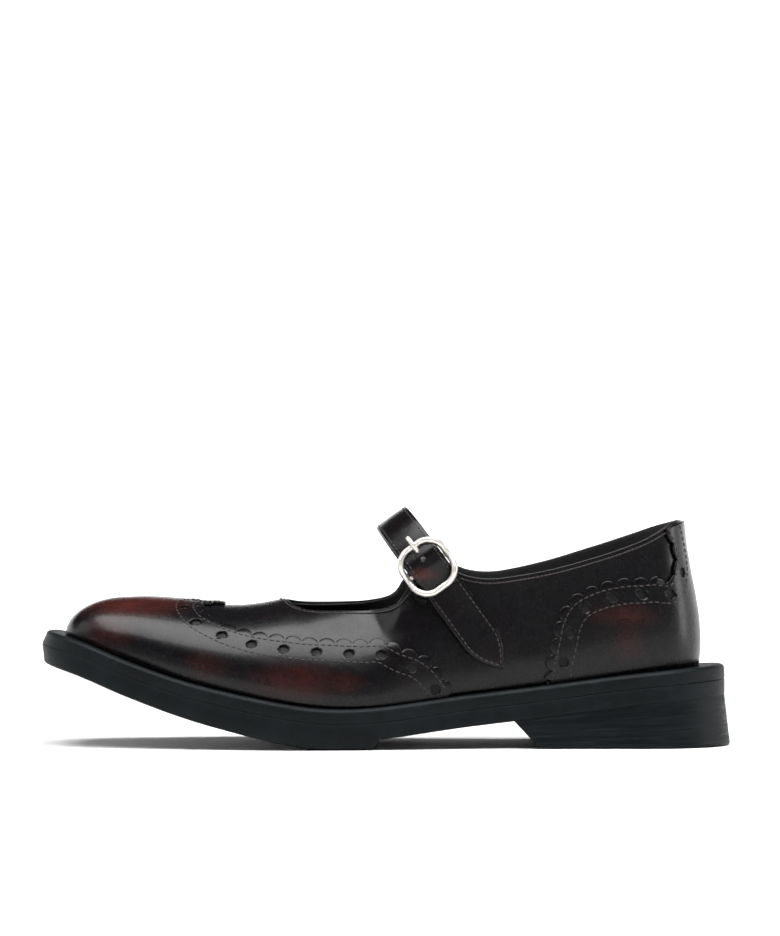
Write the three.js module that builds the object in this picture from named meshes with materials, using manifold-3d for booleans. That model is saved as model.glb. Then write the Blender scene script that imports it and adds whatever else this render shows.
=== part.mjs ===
// Left mary jane shoe: brogued wing cap, buckled instep strap, low wide sole and stacked heel.
// Millimetres. +X from toe to heel, -Y the outer (buckle) side, +Z up, floor at Z = 0.
import * as THREE from 'three';
import { mergeVertices } from 'three/addons/utils/BufferGeometryUtils.js';
import Module from 'manifold-3d';

const wasm = await Module();
wasm.setup();

// Overall sizes
const soleLength = 284.4;
const toeX = -143.2;
const ballWidth = 97;
const collarHeight = 93;

// Sole sizes
const toeLift = 48.6;
const outsoleThickness = 6.6;
const weltThickness = 6.1;
const treadDepth = 3.9;
const treadEnd = 0.492;
const treadInset = 0.3;
const treadBevel = 2.2;
const rimRound = 2.2;
const bottomRound = 1.4;
const ledgeWidth = 12;
const toeWallInset = 2;
const toeLeanEnd = 0.12;
const treadSide = 0.35;
const insoleSide = 0.7;

// Heel sizes
const breastTop = 0.686;
const breastSetback = 10.5;
const heelFlare = 2;
const heelRound = 1.2;

// Round ends of the outline
const toeRoundLength = 31;
const toeSquareness = 2.9;
const heelRoundLength = 37;
const heelSquareness = 2.2;

// Upper and overlay sizes
const wall = 2.2;
const gap = 0.3;
const overlayGap = 0.4;
const overlayWall = 1.1;
const buckleClearance = 0.5;
const insoleRise = 2.4;
const insoleClearance = 0.5;
const toeBoxSetback = 23;
const heelLean = 5.6;
const toeBoxReach = 2.2;
const heelLeanReach = 0.2;
const throat = 0.354;
const scallopPitch = 7;
const scallopHeight = 2.9;

// Strap and buckle sizes
const strapWidth = 15.4;
const strapThickness = 2.4;
const strapTilt = 36;
const strapTop = 26;
const strapTail = 51;
const strapLap = 17;
const strapSpan = 61;
const strapBump = 2.9;
const buckleX = 17.2;
const buckleZ = 73.6;
const buckleLength = 22.8;
const buckleBreadth = 22;
const buckleWire = 2.6;
const buckleCorner = 6;
const barDiameter = 2;
const prongDiameter = 1.8;

// Half widths of the sole on each side, as shares of the ball width, by share of the length
const outlineRows = [
  { at: 0, lateral: 0.33, medial: 0.33 },
  { at: 0.11, lateral: 0.39, medial: 0.37 },
  { at: 0.2, lateral: 0.447, medial: 0.445 },
  { at: 0.29, lateral: 0.487, medial: 0.496 },
  { at: 0.37, lateral: 0.5, medial: 0.487 },
  { at: 0.47, lateral: 0.48, medial: 0.415 },
  { at: 0.58, lateral: 0.425, medial: 0.34 },
  { at: 0.69, lateral: 0.375, medial: 0.33 },
  { at: 0.8, lateral: 0.36, medial: 0.352 },
  { at: 0.9, lateral: 0.365, medial: 0.365 },
  { at: 1, lateral: 0.36, medial: 0.36 },
];

// Height of the sole's top face, as shares of the toe lift
const topFaceRows = [
  { at: 0, top: 1 },
  { at: 0.065, top: 0.889 },
  { at: 0.135, top: 0.728 },
  { at: 0.216, top: 0.568 },
  { at: 0.3, top: 0.449 },
  { at: 0.384, top: 0.358 },
  { at: 0.44, top: 0.335 },
  { at: 0.504, top: 0.356 },
  { at: 0.609, top: 0.438 },
  { at: 0.721, top: 0.514 },
  { at: 0.851, top: 0.611 },
  { at: 1, top: 0.695 },
];

// Depth of the tread, as shares of its depth under the ball
const treadRows = [
  { at: 0, depth: 0.3 },
  { at: 0.2, depth: 0.5 },
  { at: 0.36, depth: 0.9 },
  { at: 0.44, depth: 1 },
];

// Bare ledge between the sole's edge and the upper, as shares of the toe ledge
const ledgeRows = [
  { at: 0, ledge: 0.97 },
  { at: 0.1, ledge: 0.8 },
  { at: 0.22, ledge: 0.6 },
  { at: 0.5, ledge: 0.52 },
  { at: 0.8, ledge: 0.62 },
  { at: 0.93, ledge: 0.86 },
  { at: 1, ledge: 1 },
];

// Top of each cross section: on the ridge, then out to the collar. Distance from the middle as a
// share of the ball width, and heights on each side as shares of the collar height at the back
const crownRows = [
  { at: 0, out: 0, lateral: 0.644, medial: 0.644 },
  { at: 0.06, out: 0, lateral: 0.645, medial: 0.645 },
  { at: 0.13, out: 0, lateral: 0.647, medial: 0.647 },
  { at: 0.18, out: 0, lateral: 0.641, medial: 0.641 },
  { at: 0.23, out: 0, lateral: 0.63, medial: 0.63 },
  { at: 0.26, out: 0, lateral: 0.624, medial: 0.624 },
  { at: 0.29, out: 0, lateral: 0.624, medial: 0.624 },
  { at: 0.318, out: 0, lateral: 0.632, medial: 0.632 },
  { at: 0.354, out: 0, lateral: 0.652, medial: 0.652 },
  { at: 0.395, out: 0, lateral: 0.675, medial: 0.675 },
  { at: 0.44, out: 0.03, lateral: 0.69, medial: 0.7 },
  { at: 0.482, out: 0.13, lateral: 0.685, medial: 0.715 },
  { at: 0.51, out: 0.25, lateral: 0.655, medial: 0.705 },
  { at: 0.524, out: 0.3, lateral: 0.645, medial: 0.705 },
  { at: 0.536, out: 0.309, lateral: 0.675, medial: 0.738 },
  { at: 0.55, out: 0.303, lateral: 0.74, medial: 0.79 },
  { at: 0.57, out: 0.297, lateral: 0.785, medial: 0.825 },
  { at: 0.592, out: 0.295, lateral: 0.785, medial: 0.82 },
  { at: 0.612, out: 0.294, lateral: 0.757, medial: 0.797 },
  { at: 0.628, out: 0.292, lateral: 0.742, medial: 0.78 },
  { at: 0.65, out: 0.29, lateral: 0.733, medial: 0.77 },
  { at: 0.68, out: 0.287, lateral: 0.74, medial: 0.775 },
  { at: 0.745, out: 0.28, lateral: 0.777, medial: 0.82 },
  { at: 0.82, out: 0.27, lateral: 0.842, medial: 0.89 },
  { at: 0.88, out: 0.26, lateral: 0.905, medial: 0.945 },
  { at: 0.94, out: 0.25, lateral: 0.966, medial: 0.98 },
  { at: 1, out: 0.24, lateral: 1, medial: 1 },
];

// Opening behind the throat: height at which each section is cut, as a share of the collar height
const throatRows = [
  { at: 0.354, lateral: 0.652, medial: 0.652 },
  { at: 0.36, lateral: 0.643, medial: 0.648 },
  { at: 0.373, lateral: 0.618, medial: 0.641 },
  { at: 0.395, lateral: 0.6, medial: 0.637 },
  { at: 0.44, lateral: 0.597, medial: 0.637 },
  { at: 0.482, lateral: 0.598, medial: 0.642 },
  { at: 0.51, lateral: 0.611, medial: 0.66 },
  { at: 0.524, lateral: 0.632, medial: 0.69 },
  { at: 0.536, lateral: 0.675, medial: 0.738 },
];

// Shape of each cross profile: outward swell as a share of the ball width, height of the swell and
// reach and drop of the upper shoulder as shares of the profile's own height and width
const profileRows = [
  { at: 0, swell: 0.012, rise: 0.45, reach: 0.62, drop: 0 },
  { at: 0.1, swell: 0.03, rise: 0.5, reach: 0.66, drop: 0 },
  { at: 0.25, swell: 0.05, rise: 0.5, reach: 0.64, drop: 0 },
  { at: 0.354, swell: 0.05, rise: 0.46, reach: 0.6, drop: 0.01 },
  { at: 0.4, swell: 0.045, rise: 0.42, reach: 0.62, drop: 0.1 },
  { at: 0.46, swell: 0.035, rise: 0.4, reach: 0.55, drop: 0.2 },
  { at: 0.53, swell: 0.025, rise: 0.36, reach: 0.4, drop: 0.32 },
  { at: 0.63, swell: 0.025, rise: 0.34, reach: 0.3, drop: 0.38 },
  { at: 0.8, swell: 0.035, rise: 0.36, reach: 0.24, drop: 0.38 },
  { at: 1, swell: 0.035, rise: 0.36, reach: 0.2, drop: 0.38 },
];

// Cusp line of the wing cap, from its peak on the ridge to the rim: share of the length, then the
// distance from the middle as a share of the ball width, or the height as a share of the collar's
const capEdgeRows = [
  { at: 0.262, out: 0 },
  { at: 0.252, out: 0.045 },
  { at: 0.232, out: 0.105 },
  { at: 0.226, out: 0.165 },
  { at: 0.236, height: 0.566 },
  { at: 0.268, height: 0.519 },
  { at: 0.312, height: 0.48 },
  { at: 0.363, height: 0.458 },
  { at: 0.411, height: 0.446 },
  { at: 0.468, height: 0.438 },
  { at: 0.515, height: 0.424 },
  { at: 0.545, height: 0.39 },
  { at: 0.572, height: 0.33 },
  { at: 0.588, height: 0.262 },
];

// Cusp line of the heel counter, from the rim up and back, in shares of length and collar height
const counterEdgeRows = [
  { at: 0.735, height: 0.25 },
  { at: 0.742, height: 0.36 },
  { at: 0.75, height: 0.46 },
  { at: 0.757, height: 0.55 },
  { at: 0.773, height: 0.625 },
  { at: 0.803, height: 0.676 },
  { at: 0.846, height: 0.706 },
  { at: 0.885, height: 0.714 },
  { at: 0.911, height: 0.714 },
];

// Plain edge of the narrow back strip, from the counter up to the collar
const backStripRows = [
  { at: 0.918, height: 0.76 },
  { at: 0.922, height: 0.82 },
  { at: 0.917, height: 0.885 },
  { at: 0.907, height: 0.95 },
  { at: 0.9, height: 1.1 },
];

// Steps of the outline between the round ends, finer at the throat and the ears
const bodyRuns = [
  { to: throat, steps: 9 },
  { to: 0.44, steps: 7 },
  { to: 0.51, steps: 4 },
  { to: 0.635, steps: 11 },
];
const tailSteps = 7;
const toeSteps = 7;
const heelSteps = 8;
const upSteps = 8;

// Value of a table's column at a place along the length, on a smooth curve through its rows
function smooth(rows, key, at) {
  const last = rows.length - 1;
  if (at <= rows[0].at) return rows[0][key];
  if (at >= rows[last].at) return rows[last][key];
  let i = 0;
  while (at > rows[i + 1].at) i += 1;
  const slope = (k) => {
    const a = rows[Math.max(k - 1, 0)];
    const b = rows[Math.min(k + 1, last)];
    return (b[key] - a[key]) / (b.at - a.at);
  };
  const span = rows[i + 1].at - rows[i].at;
  const t = (at - rows[i].at) / span;
  const s = 1 - t;
  const start = rows[i][key];
  const end = rows[i + 1][key];
  return s * s * (1 + 2 * t) * start + t * t * (1 + 2 * s) * end
    + s * t * span * (s * slope(i) - t * slope(i + 1));
}

// Places along the outline, dense where it turns round the toe and the heel
function makeStations() {
  const stations = [];
  const toeShare = toeRoundLength / soleLength;
  const heelShare = heelRoundLength / soleLength;
  const quarter = Math.PI / 2;
  for (let k = 0; k < toeSteps; k += 1) {
    const turn = (k / toeSteps) * quarter;
    const along = 1 - Math.cos(turn) ** (2 / toeSquareness);
    stations.push({ at: toeShare * along, round: Math.sin(turn) ** (2 / toeSquareness) });
  }
  let from = toeShare;
  const runs = [...bodyRuns, { to: 1 - heelShare, steps: tailSteps }];
  for (const run of runs) {
    for (let k = 0; k < run.steps; k += 1) {
      stations.push({ at: from + ((run.to - from) * k) / run.steps, round: 1 });
    }
    from = run.to;
  }
  for (let k = 0; k <= heelSteps; k += 1) {
    const turn = (1 - k / heelSteps) * quarter;
    const along = 1 - Math.cos(turn) ** (2 / heelSquareness);
    stations.push({ at: 1 - heelShare * along, round: Math.sin(turn) ** (2 / heelSquareness) });
  }
  return stations;
}

const stations = makeStations();
const lastStation = stations.length - 1;
const throatStation = stations.findIndex((s) => s.at > throat - 1e-6);
const around = 2 * lastStation;

const shareAt = (x) => (x - toeX) / soleLength;
const xAt = (share) => toeX + share * soleLength;
const soleTop = (x) => smooth(topFaceRows, 'top', shareAt(x)) * toeLift;
const weltBottom = (x) => soleTop(x) - weltThickness;
const outsoleBottom = (x) => weltBottom(x) - outsoleThickness;
const treadDepthAt = (x) => smooth(treadRows, 'depth', shareAt(x)) * treadDepth;
const treadBottom = (x) => Math.max(outsoleBottom(x) - treadDepthAt(x), 0);
const toeLean = (station) => toeWallInset * Math.max(1 - station.at / toeLeanEnd, 0);
const ledgeAt = (station) => smooth(ledgeRows, 'ledge', station.at) * ledgeWidth;

// The loop index runs round the lateral side to the heel and back on the medial side
const stationOf = (k) => stations[k <= lastStation ? k : around - k];
const sideOf = (k) => (k <= lastStation ? 'lateral' : 'medial');

// The sole's outline as a loop of places, with the direction out of it at each
function makeOutline() {
  const places = [];
  for (let k = 0; k < around; k += 1) {
    const station = stationOf(k);
    const side = sideOf(k);
    const half = smooth(outlineRows, side, station.at) * ballWidth * station.round;
    places.push({ x: xAt(station.at), y: side === 'lateral' ? -half : half, station });
  }
  for (let k = 0; k < around; k += 1) {
    const before = places[(k + around - 1) % around];
    const after = places[(k + 1) % around];
    const dx = after.x - before.x;
    const dy = after.y - before.y;
    const size = Math.hypot(dx, dy);
    const onMiddle = k === 0 || k === lastStation;
    places[k].nx = onMiddle ? Math.sign(k - 0.5) : dy / size;
    places[k].ny = onMiddle ? 0 : -dx / size;
  }
  return places;
}

const outline = makeOutline();

// A loop of points at a distance inside the outline and at a height worked out from X
function loopAt(inset, height) {
  return outline.map((place) => {
    const distance = typeof inset === 'function' ? inset(place.station) : inset;
    const x = place.x - place.nx * distance;
    const y = place.y - place.ny * distance;
    return new THREE.Vector3(x, y, height(x, y));
  });
}

// Geometry from triangles of points, with equal points joined and empty triangles left out
function meshOf(triangles) {
  const kept = triangles.filter(([a, b, c]) => (
    a.distanceTo(b) > 1e-5 && b.distanceTo(c) > 1e-5 && c.distanceTo(a) > 1e-5
  ));
  const values = kept.flatMap((corners) => corners.flatMap((p) => [p.x, p.y, p.z]));
  const geometry = new THREE.BufferGeometry();
  geometry.setAttribute('position', new THREE.Float32BufferAttribute(values, 3));
  return mergeVertices(geometry, 1e-4);
}

const quad = (a, b, c, d) => [[a, b, c], [a, c, d]];

// Side faces between two loops of the same count
function between(lower, upper) {
  const count = lower.length;
  const faces = [];
  for (let k = 0; k < count; k += 1) {
    const next = (k + 1) % count;
    faces.push(...quad(lower[k], lower[next], upper[next], upper[k]));
  }
  return faces;
}

// Faces that close a loop from side to side, like the rungs of a ladder
function ladder(loop, up) {
  const faces = [];
  const count = loop.length;
  for (let k = 0; k < count / 2; k += 1) {
    const a = loop[k];
    const b = loop[k + 1];
    const c = loop[(count - k - 1) % count];
    const d = loop[(count - k) % count];
    faces.push(...(up ? quad(a, b, c, d) : quad(a, d, c, b)));
  }
  return faces;
}

// A slab between its first and last loop
function slab(loops) {
  const faces = [...ladder(loops[0], false), ...ladder(loops[loops.length - 1], true)];
  for (let k = 0; k + 1 < loops.length; k += 1) {
    faces.push(...between(loops[k], loops[k + 1]));
  }
  return meshOf(faces);
}

// A ring whose loops go up the outside and down the inside
function ring(loops) {
  const faces = [];
  for (let k = 0; k < loops.length; k += 1) {
    faces.push(...between(loops[k], loops[(k + 1) % loops.length]));
  }
  return meshOf(faces);
}

// Solids for joining and cutting
function toSolid(geometry) {
  const bare = geometry.clone();
  bare.deleteAttribute('normal');
  bare.deleteAttribute('uv');
  const merged = mergeVertices(bare, 1e-4);
  const vertProperties = new Float32Array(merged.attributes.position.array);
  const triVerts = new Uint32Array(merged.index.array);
  return new wasm.Manifold(new wasm.Mesh({ numProp: 3, vertProperties, triVerts }));
}

function toGeometry(solid) {
  const mesh = solid.getMesh();
  const points = new Float32Array(mesh.numVert * 3);
  for (let k = 0; k < mesh.numVert; k += 1) {
    for (let axis = 0; axis < 3; axis += 1) {
      points[3 * k + axis] = mesh.vertProperties[mesh.numProp * k + axis];
    }
  }
  const geometry = new THREE.BufferGeometry();
  geometry.setAttribute('position', new THREE.BufferAttribute(points, 3));
  geometry.setIndex(new THREE.BufferAttribute(new Uint32Array(mesh.triVerts), 1));
  return geometry;
}

// A prism from a side outline of [x, height] points, turned about X by a tilt and cut at the middle
const reachAcross = 2 * ballWidth;

function prism(points, tilt) {
  const shape = new THREE.Shape(points.map(([x, w]) => new THREE.Vector2(x, w)));
  const geometry = new THREE.ExtrudeGeometry(shape, { depth: 2 * reachAcross, bevelEnabled: false });
  geometry.translate(0, 0, -reachAcross);
  geometry.rotateX(Math.PI / 2 - tilt);
  return toSolid(geometry);
}

// Outsole, with the deeper tread under the forefoot
function makeOutsole() {
  const body = toSolid(slab([
    loopAt((s) => bottomRound + toeLean(s) / 2, outsoleBottom),
    loopAt((s) => toeLean(s) / 2, (x) => outsoleBottom(x) + bottomRound),
    loopAt(0, (x) => weltBottom(x)),
  ]));
  const tread = toSolid(slab([
    loopAt((s) => treadInset + treadBevel + toeLean(s) / 2, treadBottom),
    loopAt((s) => treadInset + toeLean(s) / 2, (x) => outsoleBottom(x) - treadDepthAt(x) * treadSide),
    loopAt(treadInset + bottomRound, (x) => outsoleBottom(x) + bottomRound),
  ]));
  const endX = xAt(treadEnd);
  const front = sliceOf(-soleLength, endX);
  return toGeometry(body.add(tread.intersect(front)));
}

// Everything between two places along X
function sliceOf(fromX, untilX) {
  const tall = 4 * collarHeight;
  const box = new THREE.BoxGeometry(untilX - fromX, 2 * reachAcross, tall);
  box.translate((fromX + untilX) / 2, 0, 0);
  return toSolid(box);
}

// Welt ring with a rounded rim, which the upper stands on
const weltInner = (station) => ledgeAt(station) + wall + insoleClearance;

function makeWelt() {
  const rim = [30, 60, 90].map((angle) => {
    const turn = (angle * Math.PI) / 180;
    const inset = rimRound * (1 - Math.cos(turn));
    const drop = rimRound * (1 - Math.sin(turn));
    return loopAt((s) => inset + toeLean(s), (x) => soleTop(x) - drop);
  });
  return ring([
    loopAt(0, (x) => weltBottom(x) + gap),
    loopAt(toeLean, (x) => soleTop(x) - rimRound),
    ...rim,
    loopAt(weltInner, soleTop),
    loopAt(weltInner, (x) => weltBottom(x) + gap),
  ]);
}

// Insole and its filler, inside the welt and the upper
function makeInsole() {
  const inset = (station) => weltInner(station) + gap;
  return slab([
    loopAt(inset, (x) => weltBottom(x) + gap),
    loopAt(inset, (x) => soleTop(x) + insoleRise * insoleSide),
    loopAt((s) => inset(s) + insoleClearance, (x) => soleTop(x) + insoleRise),
  ]);
}

// Heel block under the outsole, flared to the floor, with a slanted breast
function makeHeel() {
  const seat = (x) => outsoleBottom(x) - gap;
  const block = toSolid(slab([
    loopAt(heelRound - heelFlare, () => 0),
    loopAt(-heelFlare, () => heelRound),
    loopAt(gap, seat),
  ]));
  const topX = xAt(breastTop);
  const lean = breastSetback / seat(topX);
  const high = collarHeight;
  const cutter = prism([
    [topX + breastSetback + lean * high, -high],
    [soleLength, -high],
    [soleLength, high],
    [topX + breastSetback - lean * high, high],
  ], 0);
  return toGeometry(block.intersect(cutter));
}

// The loop place of a station on a side
const placeOf = (k, side) => outline[side === 'lateral' || k === 0 ? k : around - k];

// A point of the upper's outer face: station and share of the way up to the ridge or the collar
function profilePoint(k, up, side) {
  const missing = 1 - cutShare(k, side);
  const steepest = 0.8;
  const mostFade = 8;
  const fade = Math.min(steepest / Math.max(missing, 0.001) - 1, mostFade);
  return curvePoint(placeOf(k, side), stations[k], up * (1 - missing * up ** fade), side);
}

// Share of a whole section that lies below the throat's opening, which is always past its shoulder
const shoulder = 0.4;
const cutShares = { lateral: [], medial: [] };

function cutShare(k, side) {
  const { at } = stations[k];
  if (k <= throatStation || at > throatRows[throatRows.length - 1].at) return 1;
  if (cutShares[side][k] === undefined) {
    const height = smooth(throatRows, side, at) * collarHeight;
    const place = placeOf(k, side);
    const lower = (up) => curvePoint(place, stations[k], up, side).z < height;
    cutShares[side][k] = bisect(shoulder, 1, lower);
  }
  return cutShares[side][k];
}

// A point of a whole cross section, on a curve that swells from the foot and turns over to its crown
function curvePoint(place, station, up, side) {
  const inset = ledgeAt(station);
  const sign = side === 'lateral' ? -1 : 1;
  const footX = place.x - place.nx * inset;
  const footY = place.y - place.ny * inset;
  const footZ = soleTop(footX) + gap;
  const toeShare = Math.max(1 - (footX - toeX - ledgeWidth) / (toeBoxReach * toeBoxSetback), 0);
  const heelShare = Math.max(1 - (1 - station.at) / heelLeanReach, 0);
  const topX = footX + toeBoxSetback * toeShare ** 2 - heelLean * heelShare ** 2;
  const topY = sign * smooth(crownRows, 'out', station.at) * ballWidth * station.round;
  const topZ = smooth(crownRows, side, station.at) * collarHeight;
  const swell = smooth(profileRows, 'swell', station.at) * ballWidth;
  const rise = smooth(profileRows, 'rise', station.at) * (topZ - footZ);
  const reach = smooth(profileRows, 'reach', station.at);
  const drop = smooth(profileRows, 'drop', station.at) * (topZ - footZ);
  const s = 1 - up;
  const blend = (a, b, c, d) => s ** 3 * a + 3 * s * s * up * b + 3 * s * up * up * c + up ** 3 * d;
  const swellX = footX + place.nx * swell;
  const swellY = footY + place.ny * swell;
  return new THREE.Vector3(
    blend(footX, swellX, topX + reach * (footX - topX), topX),
    blend(footY, swellY, topY + reach * (footY - topY), topY),
    blend(footZ, footZ + rise, topZ - drop, topZ),
  );
}

// A point of that face, also past the toe, the heel and the ridge, where it runs on across the middle
function faceAt(side, k, step) {
  const other = side === 'lateral' ? 'medial' : 'lateral';
  if (k < 0) return faceAt(other, -k, step);
  if (k > lastStation) return faceAt(other, around - k, step);
  if (step > upSteps) return faceAt(other, k, 2 * upSteps - step);
  return profilePoint(k, step / upSteps, side);
}

// The direction out of the upper's face at a grid point
function faceNormal(side, k, step) {
  const onRidge = step === upSteps && k <= throatStation;
  if (onRidge && k === 0) return faceNormal(side, 1, step);
  const aheadK = onRidge && k === throatStation ? k : k + 1;
  const along = faceAt(side, aheadK, step).sub(faceAt(side, k - 1, step));
  const above = step < upSteps || onRidge ? step + 1 : step;
  const upward = faceAt(side, k, above).sub(faceAt(side, k, Math.max(step - 1, 0)));
  const normal = along.cross(upward).normalize();
  if (side === 'medial') normal.negate();
  if (step === 0) normal.setZ(0).normalize();
  return normal;
}

// The grid of the upper's face, moved out by a distance
function faceGrid(side, offset) {
  return stations.map((station, k) => (
    Array.from({ length: upSteps + 1 }, (unused, step) => {
      const onMiddle = k === 0 || k === lastStation || (step === upSteps && k <= throatStation);
      const shared = onMiddle ? 'lateral' : side;
      const normal = faceNormal(shared, k, step);
      const point = profilePoint(k, step / upSteps, shared).addScaledVector(normal, offset);
      if (step === 0) point.z = soleTop(point.x) + gap;
      return point;
    })
  ));
}

// A wall between two distances from the upper's face, open at the collar and underneath
function skin(outer, inner) {
  const faces = [];
  for (const side of ['lateral', 'medial']) {
    const out = faceGrid(side, outer);
    const back = faceGrid(side, inner);
    const add = (a, b, c, d) => faces.push(...(side === 'lateral' ? quad(a, b, c, d) : quad(d, c, b, a)));
    for (let k = 0; k < lastStation; k += 1) {
      for (let j = 0; j < upSteps; j += 1) {
        add(out[k][j], out[k + 1][j], out[k + 1][j + 1], out[k][j + 1]);
        add(back[k][j + 1], back[k + 1][j + 1], back[k + 1][j], back[k][j]);
      }
      add(back[k][0], back[k + 1][0], out[k + 1][0], out[k][0]);
      if (k >= throatStation) {
        add(out[k][upSteps], out[k + 1][upSteps], back[k + 1][upSteps], back[k][upSteps]);
      }
    }
  }
  return meshOf(faces);
}

// A point of the face between two stations
function facePoint(side, along, up) {
  const k = Math.min(Math.floor(along), lastStation - 1);
  return profilePoint(k, up, side).lerp(profilePoint(k + 1, up, side), along - k);
}

// Halves a range until the test's change from true to false is found
function bisect(low, high, test) {
  let from = low;
  let until = high;
  for (let turn = 0; turn < 26; turn += 1) {
    const middle = (from + until) / 2;
    if (test(middle)) from = middle;
    else until = middle;
  }
  return (from + until) / 2;
}

// The point of the face at an X and a height, or at an X and a distance from the middle
function locate(side, x, { height, out }) {
  const solveUp = (along) => (out === undefined
    ? bisect(0, 1, (up) => facePoint(side, along, up).z < height)
    : bisect(shoulder, 1, (up) => Math.abs(facePoint(side, along, up).y) > out));
  const along = bisect(0, lastStation, (u) => facePoint(side, u, solveUp(u)).x < x);
  return facePoint(side, along, solveUp(along));
}

// Cuts round scallops along a line of [x, height] points, standing out to its left
function scalloped(line) {
  const lengths = [0];
  for (let k = 1; k < line.length; k += 1) {
    const step = Math.hypot(line[k][0] - line[k - 1][0], line[k][1] - line[k - 1][1]);
    lengths.push(lengths[k - 1] + step);
  }
  const total = lengths[lengths.length - 1];
  const pointAt = (distance) => {
    let k = 1;
    while (k < line.length - 1 && lengths[k] < distance) k += 1;
    const t = (distance - lengths[k - 1]) / (lengths[k] - lengths[k - 1]);
    return [0, 1].map((axis) => line[k - 1][axis] * (1 - t) + line[k][axis] * t);
  };
  const count = Math.round(total / scallopPitch);
  const shape = [[0, 0], [0.16, 0.72], [0.5, 1], [0.84, 0.72]];
  const points = [];
  for (let k = 0; k < count; k += 1) {
    for (const [along, rise] of shape) {
      const distance = ((k + along) / count) * total;
      const [x, w] = pointAt(distance);
      const [aheadX, aheadW] = pointAt(Math.min(distance + 1, total));
      const [backX, backW] = pointAt(Math.max(distance - 1, 0));
      const size = Math.hypot(aheadX - backX, aheadW - backW);
      points.push([
        x - ((aheadW - backW) / size) * rise * scallopHeight,
        w + ((aheadX - backX) / size) * rise * scallopHeight,
      ]);
    }
  }
  points.push(line[line.length - 1]);
  return points;
}

// Wing cap: the skin over the upper, cut along its scalloped edge, which is seen at a slant
function makeWingCap(skinSolid) {
  const slant = Math.PI / 4;
  const halves = ['lateral', 'medial'].map((side) => {
    const sign = side === 'lateral' ? 1 : -1;
    const line = capEdgeRows.map((row) => {
      const height = row.height && row.height * collarHeight;
      const out = row.out === undefined ? undefined : row.out * ballWidth;
      const point = locate(side, xAt(row.at), { height, out });
      return [point.x, sign * point.y * Math.sin(slant) + point.z * Math.cos(slant)];
    });
    const edge = scalloped(line);
    const [endX, endW] = edge[edge.length - 1];
    const [peakX] = edge[0];
    const cutter = prism([
      ...edge,
      [endX, endW - collarHeight],
      [toeX - ledgeWidth, endW - collarHeight],
      [toeX - ledgeWidth, collarHeight],
      [peakX, collarHeight],
    ], sign * slant);
    return cutter.intersect(toSide(sign));
  });
  return toGeometry(skinSolid.intersect(halves[0].add(halves[1])));
}

// Everything on one side of the middle, with a hair's overlap past it
function toSide(sign) {
  const overlap = 0.02;
  const box = new THREE.BoxGeometry(2 * soleLength, 2 * reachAcross, 2 * reachAcross);
  box.translate(0, sign * (overlap - reachAcross), 0);
  return toSolid(box);
}

// Heel counter with its scalloped edge and the narrow strip up the back seam
function makeCounter(skinSolid) {
  const place = (row) => [xAt(row.at), row.height * collarHeight];
  const edge = scalloped(counterEdgeRows.map(place));
  const strip = backStripRows.map(place);
  const cutter = prism([
    [edge[0][0], -collarHeight],
    ...edge,
    ...strip,
    [soleLength, 2 * collarHeight],
    [soleLength, -collarHeight],
  ], 0);
  return toGeometry(skinSolid.intersect(cutter));
}

// The strap's own directions: down its length in side view, and across its width
const tiltTurn = (strapTilt * Math.PI) / 180;
const strapUp = new THREE.Vector3(-Math.sin(tiltTurn), 0, Math.cos(tiltTurn));
const strapAcross = new THREE.Vector3(Math.cos(tiltTurn), 0, Math.sin(tiltTurn));
const strapPlace = (q, across) => new THREE.Vector3(buckleX, 0, buckleZ)
  .addScaledVector(strapUp, q)
  .addScaledVector(strapAcross, across);

// Distance of the strap's inner face from the middle, at a height along it
const archFoot = 2;
const archPower = 2.2;

function strapOut(side, q, across) {
  if (q > archFoot) {
    const share = Math.min((q - archFoot) / archRise, 1);
    return (strapSpan / 2) * (1 - share ** archPower) ** (1 / archPower);
  }
  const place = strapPlace(q, across);
  const wallPoint = locate(side, place.x, { height: place.z });
  return Math.max(strapSpan / 2, Math.abs(wallPoint.y) + 2 * gap);
}

// Makes a closed loft's faces point out, whichever way its rings were listed
function outward(geometry) {
  const position = geometry.attributes.position;
  const index = geometry.index;
  const corner = (k) => new THREE.Vector3().fromBufferAttribute(position, index.getX(k));
  let volume = 0;
  for (let k = 0; k < index.count; k += 3) {
    volume += corner(k).dot(corner(k + 1).cross(corner(k + 2)));
  }
  if (volume < 0) index.array.reverse();
  return geometry;
}

// A solid through rings of equal count, with its ends closed or joined to each other
function loft(rings, joined = false) {
  const faces = [];
  const last = rings.length - 1;
  for (let k = 0; k < last; k += 1) {
    faces.push(...between(rings[k], rings[k + 1]));
  }
  if (joined) {
    faces.push(...between(rings[last], rings[0]));
  } else {
    for (let k = 1; k + 1 < rings[0].length; k += 1) {
      faces.push([rings[0][0], rings[0][k + 1], rings[0][k]]);
      faces.push([rings[last][0], rings[last][k], rings[last][k + 1]]);
    }
  }
  return outward(meshOf(faces));
}

// Half the strap's width: full, then drawn in to a point along the tail
function strapHalf(q) {
  const tipLength = 14;
  const tipHalf = 0.4;
  const share = Math.max((strapTail + q < tipLength ? tipLength - strapTail - q : 0) / tipLength, 0);
  return tipHalf + (strapWidth / 2 - tipHalf) * (1 - Math.min(share, 1) ** 1.8);
}

// How far the strap stands out where it passes over the buckle's bar
const bumpReach = 0.42 * buckleLength;

function strapStandOff(side, q) {
  if (side === 'medial' || Math.abs(q) > bumpReach) return 0;
  return strapBump * Math.cos((q / bumpReach) * (Math.PI / 2)) ** 2;
}

// The strap's route from the tip of its tail, over the instep, to its lap on the inner ear
const archRise = strapTop - strapThickness - archFoot;
const archTurns = [4, 10, 16, 22, 28, 34, 47, 60, 73, 86];

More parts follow.
